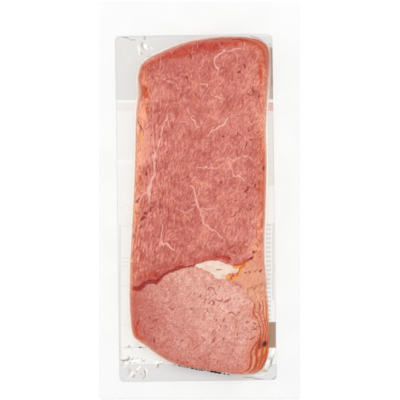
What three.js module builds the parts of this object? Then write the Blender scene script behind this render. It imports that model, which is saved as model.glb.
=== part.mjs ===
// A vacuum pack of thin smoked salt beef slices, lying on its back with the window up.
//
// Millimetres, +Z up, +Y towards the head of the pack. The origin is the middle of the pack's underside.
// A flat back film carries a fanned stack of slices. A clear front film is drawn down tightly over the
// stack and sealed to the back film all round, and a white printed frame on it leaves a clear window.

import * as THREE from 'three';

// ---- driving dimensions (mm) ----

const PACK_WIDTH = 140;
const PACK_LENGTH = 278;
const PACK_CORNER_RADIUS = 0.8;

const BACK_FILM_THICKNESS = 0.3;
const FRONT_FILM_THICKNESS = 0.2;
const FRAME_PRINT_THICKNESS = 0.1;

const WINDOW_WIDTH = 110;
const WINDOW_LENGTH = 242;
const WINDOW_CENTRE = new THREE.Vector2(-2.5, -5.6);
const WINDOW_TILT = THREE.MathUtils.degToRad(0.75); // the frame is printed slightly askew
const WINDOW_CORNER_RADIUS = 3.3;

const SLICE_THICKNESS = 1.2;
const SLICE_REACH = [1, 0.85, 0.62, 0.35, 0]; // share of the full fan, bottom slice first
const SLICE_SPREAD = 0.12; // each slice is pressed out this much farther than the one above it

const FILM_CLEARANCE = 0.1; // between a slice and the film over it
const FOOT_SPREAD = 1.4; // from the bottom slice's edge to where the film meets the back film
const HEAD_LIMIT = 115.3; // the film is down on the back film before the frame's head begins

const SAMPLES_PER_STATION = 3;
const CORNER_STEPS = 5;

// Where the film stands off farther, because it bridges a blunt corner of the stack.
const FILM_BRIDGES = [
  { centre: new THREE.Vector2(-45, -98), radius: 9, extra: 2.6 },
  { centre: new THREE.Vector2(44, -119), radius: 8, extra: 2.2 },
];

// The cut face of the beef, clockwise from the left shoulder. Each station holds a point of the top
// slice's edge, and how much farther the bottom slice reaches there.
const STATIONS = [
  // head, rising from the left shoulder to the right corner
  { edge: [-38.8, 94.5], fan: [-0.7, 0.7] },
  { edge: [-22.8, 103.6], fan: [-0.7, 1.0] },
  { edge: [-1.0, 110.2], fan: [-0.7, 1.2] },
  { edge: [28.3, 110.6], fan: [0.7, 3.0] },
  { edge: [42.3, 106.4], fan: [2.8, 3.2] },
  { edge: [46.2, 96.6], fan: [2.2, 3.0] },
  // long right side
  { edge: [46.1, 70.0], fan: [0.8, 1.4] },
  { edge: [45.5, 49.0], fan: [0.5, 0] },
  { edge: [46.2, 28.0], fan: [0.3, 0] },
  { edge: [45.5, -3.5], fan: [0.4, 0] },
  { edge: [44.4, -29.4], fan: [0.5, 0] },
  { edge: [44.7, -43.4], fan: [0.4, 0] },
  { edge: [45.2, -53.9], fan: [0.6, 0] },
  // lower right, where the fanned slices show one beyond the other
  { edge: [42.4, -58.8], fan: [4.0, 0.4] },
  { edge: [33.1, -62.3], fan: [13.2, -0.7] },
  { edge: [36.4, -69.7], fan: [10.7, -0.3] },
  { edge: [38.9, -73.9], fan: [8.6, -0.3] },
  { edge: [37.5, -78.4], fan: [10.1, 0] },
  { edge: [40.7, -84.0], fan: [7.2, 0] },
  { edge: [42.6, -91.7], fan: [5.7, 0] },
  { edge: [41.0, -98.0], fan: [7.3, 0] },
  { edge: [36.4, -105.0], fan: [11.5, -1.1] },
  { edge: [35.9, -114.1], fan: [9.9, 0.3] },
  { edge: [34.0, -118.4], fan: [9.0, 0.2] },
  // foot, rising to the left
  { edge: [28.4, -120.9], fan: [8.0, -0.4] },
  { edge: [5.9, -118.0], fan: [0, -0.4] },
  { edge: [-19.9, -112.4], fan: [0, -0.5] },
  { edge: [-37.4, -100.9], fan: [-0.3, -0.5] },
  { edge: [-45.2, -94.9], fan: [-0.3, -0.4] },
  // long left side
  { edge: [-47.6, -82.6], fan: [-0.2, 0] },
  { edge: [-48.0, -52.5], fan: [-0.2, 0] },
  { edge: [-46.2, -17.5], fan: [-0.3, 0] },
  { edge: [-44.2, 24.5], fan: [-0.4, 0] },
  { edge: [-43.0, 61.6], fan: [-0.7, 0] },
  { edge: [-40.6, 74.9], fan: [-1.8, 0] },
  { edge: [-42.1, 85.4], fan: [-0.6, 0] },
];

const FLANGE_TOP = BACK_FILM_THICKNESS + FRONT_FILM_THICKNESS;

// ---- materials ----

const backFilmMaterial = new THREE.MeshStandardMaterial({ color: 0xeeeeeb, roughness: 0.35, metalness: 0 });
const printMaterial = new THREE.MeshStandardMaterial({ color: 0xf8f8f8, roughness: 0.4, metalness: 0 });
const clearFilmMaterial = new THREE.MeshStandardMaterial({
  color: 0xffffff, roughness: 0.08, metalness: 0, transparent: true, opacity: 0.18,
});
const topSliceMaterial = new THREE.MeshStandardMaterial({ color: 0xd2837a, roughness: 0.45, metalness: 0 });
const lowerSliceMaterial = new THREE.MeshStandardMaterial({ color: 0xdc8f6e, roughness: 0.4, metalness: 0 });

// ---- outlines ----

/** Counterclockwise outline of a rectangle with rounded corners, centred on the origin. */
function roundedRectangle(width, length, radius) {
  const outline = [];
  for (let corner = 0; corner < 4; corner += 1) {
    const signX = corner === 0 || corner === 3 ? 1 : -1;
    const signY = corner < 2 ? 1 : -1;
    const centre = new THREE.Vector2(signX * (width / 2 - radius), signY * (length / 2 - radius));
    for (let step = 0; step <= CORNER_STEPS; step += 1) {
      const angle = (corner + step / CORNER_STEPS) * Math.PI / 2;
      outline.push(new THREE.Vector2(radius, 0).rotateAround(new THREE.Vector2(), angle).add(centre));
    }
  }
  return outline;
}

/** The window's outline: a rounded rectangle, turned and moved to its place in the frame. */
function windowOutline() {
  const upright = roundedRectangle(WINDOW_WIDTH, WINDOW_LENGTH, WINDOW_CORNER_RADIUS);
  return upright.map((point) => point.rotateAround(new THREE.Vector2(), WINDOW_TILT).add(WINDOW_CENTRE));
}

/** Moves every point of a counterclockwise outline outwards, by the distance that the rule gives there. */
function grown(outline, distanceAt) {
  const count = outline.length;
  return outline.map((point, index) => {
    const before = outline[(index + count - 1) % count];
    const after = outline[(index + 1) % count];
    const along = after.clone().sub(before).normalize();
    const outward = new THREE.Vector2(along.y, -along.x);
    return point.clone().addScaledVector(outward, distanceAt(point));
  });
}

/** Counterclockwise outline of a slice that reaches a share of the full fan, as a smooth closed curve. */
function sliceOutline(level) {
  const reach = SLICE_REACH[level];
  const controls = STATIONS.map(({ edge, fan }) => (
    new THREE.Vector3(edge[0] + fan[0] * reach, edge[1] + fan[1] * reach, 0)
  ));
  const curve = new THREE.CatmullRomCurve3(controls.reverse(), true, 'centripetal');
  const samples = curve.getPoints(STATIONS.length * SAMPLES_PER_STATION).slice(0, -1);
  const spread = SLICE_SPREAD * (SLICE_REACH.length - 1 - level);
  return grown(samples.map((sample) => new THREE.Vector2(sample.x, sample.y)), () => spread);
}

/** How far the film's foot stands off the bottom slice at a point of that slice's edge. */
function footDistance(point) {
  return FILM_BRIDGES.reduce((sum, { centre, radius, extra }) => {
    const nearness = Math.max(0, 1 - point.distanceTo(centre) / radius);
    return sum + extra * nearness * nearness * (3 - 2 * nearness);
  }, FOOT_SPREAD);
}

// ---- solids ----

/** A plate of even thickness over an outline, with an optional hole. */
function plateGeometry(outline, thickness, hole = null) {
  const shape = new THREE.Shape(outline);
  if (hole) shape.holes.push(new THREE.Path(hole));
  return new THREE.ExtrudeGeometry(shape, { depth: thickness, bevelEnabled: false });
}

/**
 * The rings of the film's face, from the plateau on the top slice out to the foot. Each ring runs just
 * outside one slice at the height of that slice's top, so the film steps down over the fanned edges.
 */
function filmRings(outlines, lift, spread, footHeight) {
  const rings = outlines.map((outline, level) => {
    const height = BACK_FILM_THICKNESS + SLICE_THICKNESS * (level + 1) + lift;
    return grown(outline, () => spread).map((point) => new THREE.Vector3(point.x, point.y, height));
  }).reverse();
  const foot = grown(outlines[0], (point) => footDistance(point) + spread);
  rings.push(foot.map((point) => new THREE.Vector3(point.x, Math.min(point.y, HEAD_LIMIT), footHeight)));
  return rings;
}

/** Triangles between two outlines, all turned counterclockwise, as indices into [...contour, ...hole]. */
function fillBetween(contour, hole = []) {
  const flat = (points) => points.map((point) => new THREE.Vector2(point.x, point.y));
  const holes = hole.length ? [flat(hole)] : [];
  const corners = flat([...contour, ...hole]);
  return THREE.ShapeUtils.triangulateShape(flat(contour), holes).map(([a, b, c]) => (
    THREE.ShapeUtils.area([corners[a], corners[b], corners[c]]) > 0 ? [a, b, c] : [a, c, b]
  ));
}

/** The front film: an upper and a lower skin with the same rings, joined along the pack's edge. */
function frontFilmGeometry(outlines, packOutline) {
  const positions = [];
  const indices = [];

  function skin(rings, edgeHeight, facesUp) {
    const addPoints = (points) => points.map((point) => positions.push(point.x, point.y, point.z) / 3 - 1);
    const addTriangle = (a, b, c) => indices.push(...(facesUp ? [a, b, c] : [a, c, b]));
    const loops = rings.map(addPoints);
    const edgePoints = packOutline.map((point) => new THREE.Vector3(point.x, point.y, edgeHeight));
    const edge = addPoints(edgePoints);

    fillBetween(rings[0]).forEach((triangle) => addTriangle(...triangle.map((i) => loops[0][i])));
    for (let ring = 0; ring + 1 < loops.length; ring += 1) {
      const inside = loops[ring];
      const outside = loops[ring + 1];
      inside.forEach((corner, i) => {
        const next = (i + 1) % inside.length;
        addTriangle(corner, outside[i], outside[next]);
        addTriangle(corner, outside[next], inside[next]);
      });
    }
    const foot = loops[loops.length - 1];
    const flange = [...edge, ...foot];
    fillBetween(edgePoints, rings[rings.length - 1]).forEach((triangle) => (
      addTriangle(...triangle.map((i) => flange[i]))
    ));
    return edge;
  }

  const lowerRings = filmRings(outlines, FILM_CLEARANCE, FILM_CLEARANCE, BACK_FILM_THICKNESS);
  const wall = FILM_CLEARANCE + FRONT_FILM_THICKNESS;
  const upperRings = filmRings(outlines, wall, wall, FLANGE_TOP);
  const lowerEdge = skin(lowerRings, BACK_FILM_THICKNESS, false);
  const upperEdge = skin(upperRings, FLANGE_TOP, true);
  lowerEdge.forEach((corner, i) => {
    const next = (i + 1) % lowerEdge.length;
    indices.push(corner, lowerEdge[next], upperEdge[next]);
    indices.push(corner, upperEdge[next], upperEdge[i]);
  });

  const geometry = new THREE.BufferGeometry();
  geometry.setAttribute('position', new THREE.Float32BufferAttribute(positions, 3));
  geometry.setIndex(indices);
  geometry.computeVertexNormals();
  return geometry;
}

// ---- the pack ----

/** Adds a named mesh to the pack, at a height above the surface it lies on. */
function addPiece(pack, name, geometry, material, height = 0) {
  const mesh = new THREE.Mesh(geometry, material);
  mesh.name = name;
  mesh.position.z = height;
  pack.add(mesh);
}

function buildPack() {
  const pack = new THREE.Group();
  const packOutline = roundedRectangle(PACK_WIDTH, PACK_LENGTH, PACK_CORNER_RADIUS);
  const outlines = SLICE_REACH.map((reach, level) => sliceOutline(level));

  addPiece(pack, 'back_film', plateGeometry(packOutline, BACK_FILM_THICKNESS), backFilmMaterial);
  outlines.forEach((outline, level) => {
    const material = level === outlines.length - 1 ? topSliceMaterial : lowerSliceMaterial;
    const height = BACK_FILM_THICKNESS + level * SLICE_THICKNESS;
    addPiece(pack, `slice_${level + 1}`, plateGeometry(outline, SLICE_THICKNESS), material, height);
  });
  addPiece(pack, 'front_film', frontFilmGeometry(outlines, packOutline), clearFilmMaterial);
  const frame = plateGeometry(packOutline, FRAME_PRINT_THICKNESS, windowOutline());
  addPiece(pack, 'white_frame', frame, printMaterial, FLANGE_TOP);
  return pack;
}

export default buildPack();
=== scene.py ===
"""Looks of a flat vacuum pack of smoked beef slices that lies on its back, window up.

Every table of lengths is in millimetres in the pack's own frame: +X to the right of the window,
+Y to the head of the pack and +Z out of the window. Meshes are in metres.
"""

import logging
import math
from collections.abc import Callable, Iterator
from dataclasses import dataclass, field
from enum import Enum

import bmesh
import bpy
import numpy as np
from mathutils import Matrix, Vector


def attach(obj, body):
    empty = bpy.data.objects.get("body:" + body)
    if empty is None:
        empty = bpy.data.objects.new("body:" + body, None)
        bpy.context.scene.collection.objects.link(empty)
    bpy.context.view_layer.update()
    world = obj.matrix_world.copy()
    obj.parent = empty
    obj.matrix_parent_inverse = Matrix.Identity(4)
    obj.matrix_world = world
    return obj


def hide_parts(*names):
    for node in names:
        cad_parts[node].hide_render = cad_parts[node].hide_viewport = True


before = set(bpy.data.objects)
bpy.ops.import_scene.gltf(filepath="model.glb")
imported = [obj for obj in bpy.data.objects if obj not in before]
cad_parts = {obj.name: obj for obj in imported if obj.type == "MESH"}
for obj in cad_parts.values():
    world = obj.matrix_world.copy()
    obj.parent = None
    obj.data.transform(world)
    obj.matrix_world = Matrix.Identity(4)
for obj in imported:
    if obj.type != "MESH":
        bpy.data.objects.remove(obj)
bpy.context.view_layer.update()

LOG = logging.getLogger("beef_pack")
MM = 0.001
SEED = 7982
MERGE = 1e-6
CLOSE_RIM_SEED = 50
RELIEF_SEED = 20
RIM_TINT_SEED = 30
CURVE_STEPS = 4
MARKS_WANDER = 0.3

Point = tuple[float, float]
Colour = tuple[float, float, float, float]
Places = Callable[[np.ndarray], np.ndarray]

PACK_HALF = np.array([70.0, 139.0])
PACK_RADIUS = 0.8
BACK_TOP = 0.3
SLICE_THICKNESS = 1.2
WINDOW_HALF = np.array([55.0, 121.0])
WINDOW_CENTRE = np.array([-2.5, -5.6])
WINDOW_TILT = math.radians(0.75)
WINDOW_RADIUS = 3.3

# A rim is read by 36 station numbers, and station 30 is the rim's point nearest to FIRST_POINT.
STATIONS = 36
FIRST_STATION = 30
FIRST_POINT = np.array([-48.0, -52.5])
# The four stations between which a slice's face is laid out as a four-sided patch.
CORNERS = (0.0, 4.7, 23.0, 28.0)

# How bright a white surface shows, and the light that the film adds, over meat and margin.
LIGHT_LEVEL = 1.045
FILM_VEIL = 0.039
MARGIN_LIGHT = 1.03
MARGIN_VEIL = 0.05
WHITE: Colour = (1.0, 1.0, 1.0, 1.0)


# ---------------------------------------------------------------- colours and shader wires


def linear(level: float) -> float:
    """Turns one 0 to 255 display level into scene-linear light.

    Args:
        level: The level as a screen shows it.

    Returns:
        The same level as linear light, from 0 to 1.
    """
    share = level / 255.0
    return share / 12.92 if share <= 0.04045 else ((share + 0.055) / 1.055) ** 2.4


def paint(red: float, green: float, blue: float) -> Colour:
    """Gives the linear colour of a bare surface from its display levels."""
    return (linear(red), linear(green), linear(blue), 1.0)


def under_film(red: float, green: float, blue: float) -> Colour:
    """Gives the meat's own colour from the levels at which it shows through the clear film.

    Args:
        red: Red level, 0 to 255, as seen through the film.
        green: Green level as seen through the film.
        blue: Blue level as seen through the film.

    Returns:
        The linear colour to give the surface, with what the film reflects taken off.
    """
    return bared(red, green, blue, FILM_VEIL, LIGHT_LEVEL)


def behind_margin(red: float, green: float, blue: float) -> Colour:
    """Gives the back film's own colour from the levels at which it shows in the margin."""
    return bared(red, green, blue, MARGIN_VEIL, MARGIN_LIGHT)


def bared(red: float, green: float, blue: float, veil: float, light: float) -> Colour:
    """Takes a clear film's veil and the light's level off a seen colour.

    Args:
        red: Red level, 0 to 255.
        green: Green level.
        blue: Blue level.
        veil: The linear light that the film adds.
        light: How bright a white surface shows.

    Returns:
        The surface's own linear colour.
    """
    own = [(linear(v) - veil) / (light - veil) for v in (red, green, blue)]
    return (*[min(max(v, 0.0), 1.0) for v in own], 1.0)


@dataclass(frozen=True)
class Wire:
    """One shader socket whose Python operators add Math nodes."""

    graph: "Graph"
    socket: bpy.types.NodeSocket

    def _maths(self, operation: str, first: object, second: object) -> "Wire":
        """Adds a Math node on two values.

        Args:
            operation: The Math node's operation.
            first: A wire or a number.
            second: A wire or a number.

        Returns:
            The node's result.
        """
        made = self.graph.node("ShaderNodeMath", {"operation": operation}, {0: first, 1: second})
        return Wire(self.graph, made.outputs[0])

    def __add__(self, other: object) -> "Wire":
        """Adds."""
        return self._maths("ADD", self, other)

    def __sub__(self, other: object) -> "Wire":
        """Subtracts."""
        return self._maths("SUBTRACT", self, other)

    def __rsub__(self, other: object) -> "Wire":
        """Subtracts from a number."""
        return self._maths("SUBTRACT", other, self)

    def __mul__(self, other: object) -> "Wire":
        """Multiplies."""
        return self._maths("MULTIPLY", self, other)

    def __truediv__(self, other: object) -> "Wire":
        """Divides."""
        return self._maths("DIVIDE", self, other)

    def __pow__(self, other: object) -> "Wire":
        """Raises to a power."""
        return self._maths("POWER", self, other)

    __radd__ = __add__
    __rmul__ = __mul__

    def most(self, other: object) -> "Wire":
        """Takes the larger of two values."""
        return self._maths("MAXIMUM", self, other)

    def fraction(self) -> "Wire":
        """Keeps the part after the decimal point, so that a pattern repeats."""
        return self._maths("FRACT", self, 0.0)

    def cosine(self) -> "Wire":
        """Takes the cosine."""
        return self._maths("COSINE", self, 0.0)

    def rise(self, low: float, high: float, ease: str = "SMOOTHSTEP") -> "Wire":
        """Goes from 0 at one value to 1 at another and stays there.

        Args:
            low: The value at which the result leaves 0.
            high: The value at which it reaches 1, which may be the lower of the two.
            ease: How it goes, SMOOTHSTEP or LINEAR.

        Returns:
            The result.
        """
        made = self.graph.node(
            "ShaderNodeMapRange",
            {"interpolation_type": ease},
            {"Value": self, "From Min": low, "From Max": high},
        )
        return Wire(self.graph, made.outputs[0])

    def within(self, low: float, high: float, soft: float) -> "Wire":
        """Is 1 between two values and 0 outside them, with soft edges."""
        return self.rise(low - soft, low + soft) * self.rise(high + soft, high - soft)


class Graph:
    """One material and the nodes that are added to it."""

    def __init__(self, name: str) -> None:
        """Starts an empty material.

        Args:
            name: The material's name.
        """
        self.material = bpy.data.materials.new(name)
        self.material.use_nodes = True
        self.tree = self.material.node_tree
        self.tree.nodes.clear()

    def node(
        self, kind: str, settings: dict | None = None, inputs: dict | None = None
    ) -> bpy.types.Node:
        """Adds a node.

        Args:
            kind: The node's type name.
            settings: Properties to set first.
            inputs: Values or wires by socket name, identifier or number.

        Returns:
            The new node.
        """
        made = self.tree.nodes.new(kind)
        for name, value in (settings or {}).items():
            setattr(made, name, value)
        for key, value in (inputs or {}).items():
            socket = made.inputs[key] if isinstance(key, int) else self._find(made, key)
            if isinstance(value, Wire):
                self.tree.links.new(value.socket, socket)
            else:
                socket.default_value = value
        return made

    @staticmethod
    def _find(made: bpy.types.Node, key: str) -> bpy.types.NodeSocket:
        """Finds an input socket by its identifier or else by its name."""
        named = [s for s in made.inputs if s.identifier == key]
        return (named or [s for s in made.inputs if s.name == key])[0]

    def attribute(self, name: str) -> Wire:
        """Reads a point attribute of the mesh as a number."""
        made = self.node("ShaderNodeAttribute", {"attribute_name": name})
        return Wire(self, made.outputs["Fac"])

    def places(self) -> Wire:
        """Gives Object coordinates in millimetres."""
        source = self.node("ShaderNodeTexCoord")
        return self.vector("SCALE", Wire(self, source.outputs["Object"]), scale=1.0 / MM)

    def vector(
        self, operation: str, first: object, second: object = None, scale: object = None
    ) -> Wire:
        """Adds a Vector Math node.

        Args:
            operation: The node's operation.
            first: A vector wire or value.
            second: The second vector, where the operation has one.
            scale: The number that a scaling multiplies by.

        Returns:
            The resulting vector.
        """
        inputs = {0: first}
        if second is not None:
            inputs[1] = second
        if scale is not None:
            inputs["Scale"] = scale
        made = self.node("ShaderNodeVectorMath", {"operation": operation}, inputs)
        return Wire(self, made.outputs[0])

    def axes(self, places: Wire) -> tuple[Wire, Wire, Wire]:
        """Splits a vector into its three numbers."""
        made = self.node("ShaderNodeSeparateXYZ", None, {0: places})
        return tuple(Wire(self, out) for out in made.outputs)

    def stretched(self, places: Wire, turn: float, size: tuple[float, float, float]) -> Wire:
        """Turns places about Z and divides them by a size along each axis.

        Args:
            places: Places in millimetres.
            turn: Angle in degrees.
            size: The pattern's size along each turned axis, in millimetres.

        Returns:
            The turned and scaled places.
        """
        turned = self.node(
            "ShaderNodeMapping",
            {"vector_type": "TEXTURE"},
            {"Vector": places, "Rotation": (0.0, 0.0, math.radians(turn)), "Scale": size},
        )
        return Wire(self, turned.outputs[0])

    def noise(self, places: Wire, size: float, detail: float = 2.0, rough: float = 0.5) -> Wire:
        """Adds a noise.

        Args:
            places: Where to read it.
            size: The size of its features, in the places' own unit.
            detail: Its octaves.
            rough: The strength of its finer octaves.

        Returns:
            The noise from 0 to 1, with a mean of a half.
        """
        made = self.node(
            "ShaderNodeTexNoise",
            None,
            {"Vector": places, "Scale": 1.0 / size, "Detail": detail, "Roughness": rough},
        )
        return Wire(self, made.outputs[0])

    def warped(self, places: Wire, size: float, reach: float) -> Wire:
        """Shifts places by a noise.

        Args:
            places: Places in millimetres.
            size: The size of the noise's features.
            reach: The farthest shift.

        Returns:
            The shifted places.
        """
        made = self.node(
            "ShaderNodeTexNoise", None, {"Vector": places, "Scale": 1.0 / size, "Detail": 1.0}
        )
        centred = self.vector("SUBTRACT", Wire(self, made.outputs[1]), (0.5, 0.5, 0.5))
        return self.vector("ADD", places, self.vector("SCALE", centred, scale=2.0 * reach))

    def blend(self, share: object, first: object, second: object, how: str = "MIX") -> Wire:
        """Mixes two colours.

        Args:
            share: How much of the second there is, from 0 to 1.
            first: A colour or a wire.
            second: A colour or a wire.
            how: The mix's blend type.

        Returns:
            The mixed colour.
        """
        made = self.node(
            "ShaderNodeMix",
            {"data_type": "RGBA", "blend_type": how},
            {"Factor_Float": share, "A_Color": first, "B_Color": second},
        )
        return Wire(self, next(s for s in made.outputs if s.identifier == "Result_Color"))

    def toned(self, colour: object, light: Wire, deep: Colour, pale: Colour) -> Wire:
        """Makes a colour deeper where a value is below 0 and paler where it is above 0.

        Args:
            colour: The colour.
            light: The value, about -1 to 1.
            deep: What the colour is multiplied by at -1.
            pale: What the colour is multiplied by at 1.

        Returns:
            The toned colour.
        """
        gain = self.blend(light, self.blend(light * -1.0, WHITE, deep), pale)
        return self.blend(1.0, colour, gain, "MULTIPLY")

    def cells(self, places: Wire, feature: str = "F1") -> bpy.types.Node:
        """Adds a flat cell pattern whose cells measure about 1."""
        settings = {"voronoi_dimensions": "2D", "feature": feature}
        return self.node("ShaderNodeTexVoronoi", settings, {"Vector": places, "Scale": 1.0})

    def ovals(self, places: Wire, reach: float, share: float) -> Wire:
        """Scatters ovals, one in each of a share of a pattern's cells.

        Args:
            places: Places that are divided by the cells' size.
            reach: The ovals' half size as a share of a cell.
            share: The share of the cells that hold one.

        Returns:
            The ovals, 1 at their middles.
        """
        made = self.cells(places)
        chance = self.axes(Wire(self, made.outputs["Color"]))[0]
        far = Wire(self, made.outputs["Distance"])
        return chance.rise(share + 0.01, share - 0.01) * far.rise(reach * 1.15, reach * 0.5)

    def network(self, places: Wire, width: float) -> Wire:
        """Draws lines between a pattern's cells.

        Args:
            places: Places that are divided by the cells' size.
            width: The lines' half width as a share of a cell.

        Returns:
            The lines, 1 at their middles.
        """
        made = self.cells(places, "DISTANCE_TO_EDGE")
        return Wire(self, made.outputs["Distance"]).rise(width, width * 0.2)

    def bump(self, height: Wire, depth: float, strength: float = 1.0) -> Wire:
        """Turns a height from 0 to 1 into a normal.

        Args:
            height: The height.
            depth: What a height of 1 measures, in millimetres.
            strength: The effect's share.

        Returns:
            The normal.
        """
        made = self.node(
            "ShaderNodeBump", None, {"Height": height, "Distance": depth * MM, "Strength": strength}
        )
        return Wire(self, made.outputs[0])

    def shader(self, kind: str, inputs: dict) -> Wire:
        """Adds a shader node and gives its first output."""
        return Wire(self, self.node(kind, None, inputs).outputs[0])

    def mixed(self, share: object, first: Wire, second: Wire) -> Wire:
        """Mixes two shaders."""
        return self.shader("ShaderNodeMixShader", {0: share, 1: first, 2: second})

    def finished(self, surface: Wire) -> bpy.types.Material:
        """Links the surface to the output and gives the material."""
        self.node("ShaderNodeOutputMaterial", None, {"Surface": surface})
        return self.material


# ---------------------------------------------------------------- plane geometry


def smooth(share: np.ndarray) -> np.ndarray:
    """Eases a share from 0 to 1 and holds it there outside."""
    held = np.clip(share, 0.0, 1.0)
    return held * held * (3.0 - 2.0 * held)


def between(row: tuple[np.ndarray, ...], share: np.ndarray) -> np.ndarray:
    """Gives the point at a share of the smooth bend between the middle two of four points.

    Args:
        row: The four points, in order.
        share: The share, 0 at the second point and 1 at the third.

    Returns:
        The point.
    """
    p0, p1, p2, p3 = row
    return (
        2 * p1
        + (p2 - p0) * share
        + (2 * p0 - 5 * p1 + 4 * p2 - p3) * share**2
        + (3 * p1 - p0 - 3 * p2 + p3) * share**3
    ) / 2


def curve_through(points: np.ndarray, steps: int, closed: bool) -> np.ndarray:
    """Draws a smooth curve through points.

    Args:
        points: The points, one row each.
        steps: Steps from each point to the next.
        closed: Whether the curve returns to its start.

    Returns:
        The curve's points, in order.
    """
    if len(points) < 3:
        return points
    if closed:
        rows = [np.roll(points, turn, 0) for turn in (1, 0, -1, -2)]
    else:
        padded = np.vstack([2 * points[0] - points[1], points, 2 * points[-1] - points[-2]])
        rows = [padded[:-3], padded[1:-2], padded[2:-1], padded[3:]]
    shares = np.arange(steps)[None, :, None] / steps
    drawn = between(tuple(v[:, None, :] for v in rows), shares).reshape(-1, 2)
    return drawn if closed else np.vstack([drawn, points[-1]])


def path_distance(path: np.ndarray, at: np.ndarray) -> tuple[np.ndarray, np.ndarray]:
    """Measures places from a path.

    Args:
        path: The path's points.
        at: The places.

    Returns:
        Each place's distance from the path, and how far along the path its nearest point is
        as a share.
    """
    along = np.zeros(len(at))
    if len(path) == 1:
        return np.hypot(*(at - path[0]).T), along + 0.5
    best = np.full(len(at), np.inf)
    lengths = np.hypot(*(path[1:] - path[:-1]).T)
    total, gone = max(lengths.sum(), 1e-9), 0.0
    for start, end, length in zip(path[:-1], path[1:], lengths):
        step = end - start
        away = at - start
        share = np.clip(away @ step / max(length**2, 1e-12), 0.0, 1.0)
        far = np.hypot(*(away - share[:, None] * step).T)
        nearer = far < best
        best[nearer] = far[nearer]
        along[nearer] = (gone + share[nearer] * length) / total
        gone += length
    return best, along


def inside(ring: np.ndarray, at: np.ndarray) -> np.ndarray:
    """Tells which places lie inside a closed ring of points.

    Args:
        ring: The ring's points.
        at: The places.

    Returns:
        True for each place inside the ring.
    """
    crossed = np.zeros(len(at), dtype=bool)
    for start, end in zip(ring, np.roll(ring, -1, 0)):
        spans = (start[1] > at[:, 1]) != (end[1] > at[:, 1])
        rise = end[1] - start[1] or 1e-12
        meets = start[0] + (at[:, 1] - start[1]) / rise * (end[0] - start[0])
        crossed ^= spans & (at[:, 0] < meets)
    return crossed


def ring_depth(ring: np.ndarray, at: np.ndarray) -> np.ndarray:
    """Measures how deep places lie inside a closed ring, below 0 where they lie outside."""
    far = path_distance(np.vstack([ring, ring[:1]]), at)[0]
    return np.where(inside(ring, at), far, -far)


@dataclass(frozen=True)
class RoundedBox:
    """A turned rectangle with rounded corners."""

    half: np.ndarray
    centre: np.ndarray
    tilt: float
    radius: float

    def depth(self, at: np.ndarray) -> np.ndarray:
        """Measures how deep places lie inside the outline, below 0 outside it.

        Args:
            at: The places.

        Returns:
            The depths in millimetres.
        """
        cosine, sine = math.cos(self.tilt), math.sin(self.tilt)
        away = at - self.centre
        local = np.column_stack([away @ [cosine, sine], away @ [-sine, cosine]])
        past = np.abs(local) - self.half + self.radius
        corner = np.hypot(*np.maximum(past, 0.0).T)
        return self.radius - corner - np.minimum(past.max(axis=1), 0.0)

    def reached(self, start: np.ndarray, through: np.ndarray) -> np.ndarray:
        """Follows rays from inside until they meet the outline.

        Args:
            start: Where each ray starts.
            through: A point that each ray passes.

        Returns:
            Where each ray meets the outline.
        """
        way = through - start
        way = way / np.hypot(*way.T)[:, None]
        low, high = np.zeros(len(way)), np.full(len(way), 400.0)
        for _ in range(48):
            middle = (low + high) / 2
            within = self.depth(start + way * middle[:, None]) > 0
            low, high = np.where(within, middle, low), np.where(within, high, middle)
        return start + way * low[:, None]


WINDOW = RoundedBox(WINDOW_HALF, WINDOW_CENTRE, WINDOW_TILT, WINDOW_RADIUS)
PACK = RoundedBox(PACK_HALF - 0.05, np.zeros(2), 0.0, PACK_RADIUS)


class Ripple:
    """A smooth, seeded unevenness over the plane, from about -1 to 1."""

    WAVES = 9
    SHORTEST, LONGEST = 0.6, 1.7

    def __init__(self, seed: int, size: float) -> None:
        """Draws the waves.

        Args:
            seed: Its own seed.
            size: The length of its waves in millimetres.
        """
        draw = np.random.default_rng(SEED + seed)
        turn = draw.uniform(0.0, math.tau, self.WAVES)
        pace = math.tau / (size * draw.uniform(self.SHORTEST, self.LONGEST, self.WAVES))
        self.pace = np.column_stack([np.cos(turn), np.sin(turn)]) * pace[:, None]
        self.phase = draw.uniform(0.0, math.tau, self.WAVES)

    def at(self, places: np.ndarray) -> np.ndarray:
        """Gives the unevenness at places."""
        return np.sin(places @ self.pace.T + self.phase).sum(axis=1) / math.sqrt(len(self.phase))


WARP_ACROSS = Ripple(1, 4.0)
WARP_ALONG = Ripple(2, 4.0)


def wandered(places: np.ndarray, reach: float) -> np.ndarray:
    """Shifts places a little, so that drawn edges wander as grown ones do."""
    return places + reach * np.column_stack([WARP_ACROSS.at(places), WARP_ALONG.at(places)])


# ---------------------------------------------------------------- marks on the meat


def numbers_read(line: str) -> list[float]:
    """Reads the numbers on a line."""
    return [float(v) for v in line.split()]


def rows_read(text: str) -> list[list[float]]:
    """Reads a table with one row of numbers on each line."""
    return [numbers_read(line) for line in text.strip().splitlines()]


def pairs_read(text: str) -> np.ndarray:
    """Reads pairs of numbers with commas between them."""
    return np.array([numbers_read(pair) for pair in text.split(",")])


def lines_read(text: str) -> Iterator[tuple[list[float], np.ndarray]]:
    """Reads drawn lines, each on a line of text: its sizes, a bar and its points."""
    for line in text.strip().splitlines():
        sizes, path = line.split("|")
        yield numbers_read(sizes), pairs_read(path)


def round_rim(table: np.ndarray, stations: np.ndarray) -> np.ndarray:
    """Reads a table of stations and amounts that runs all round a rim."""
    return np.interp(stations, *table.T, period=float(STATIONS))


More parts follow.
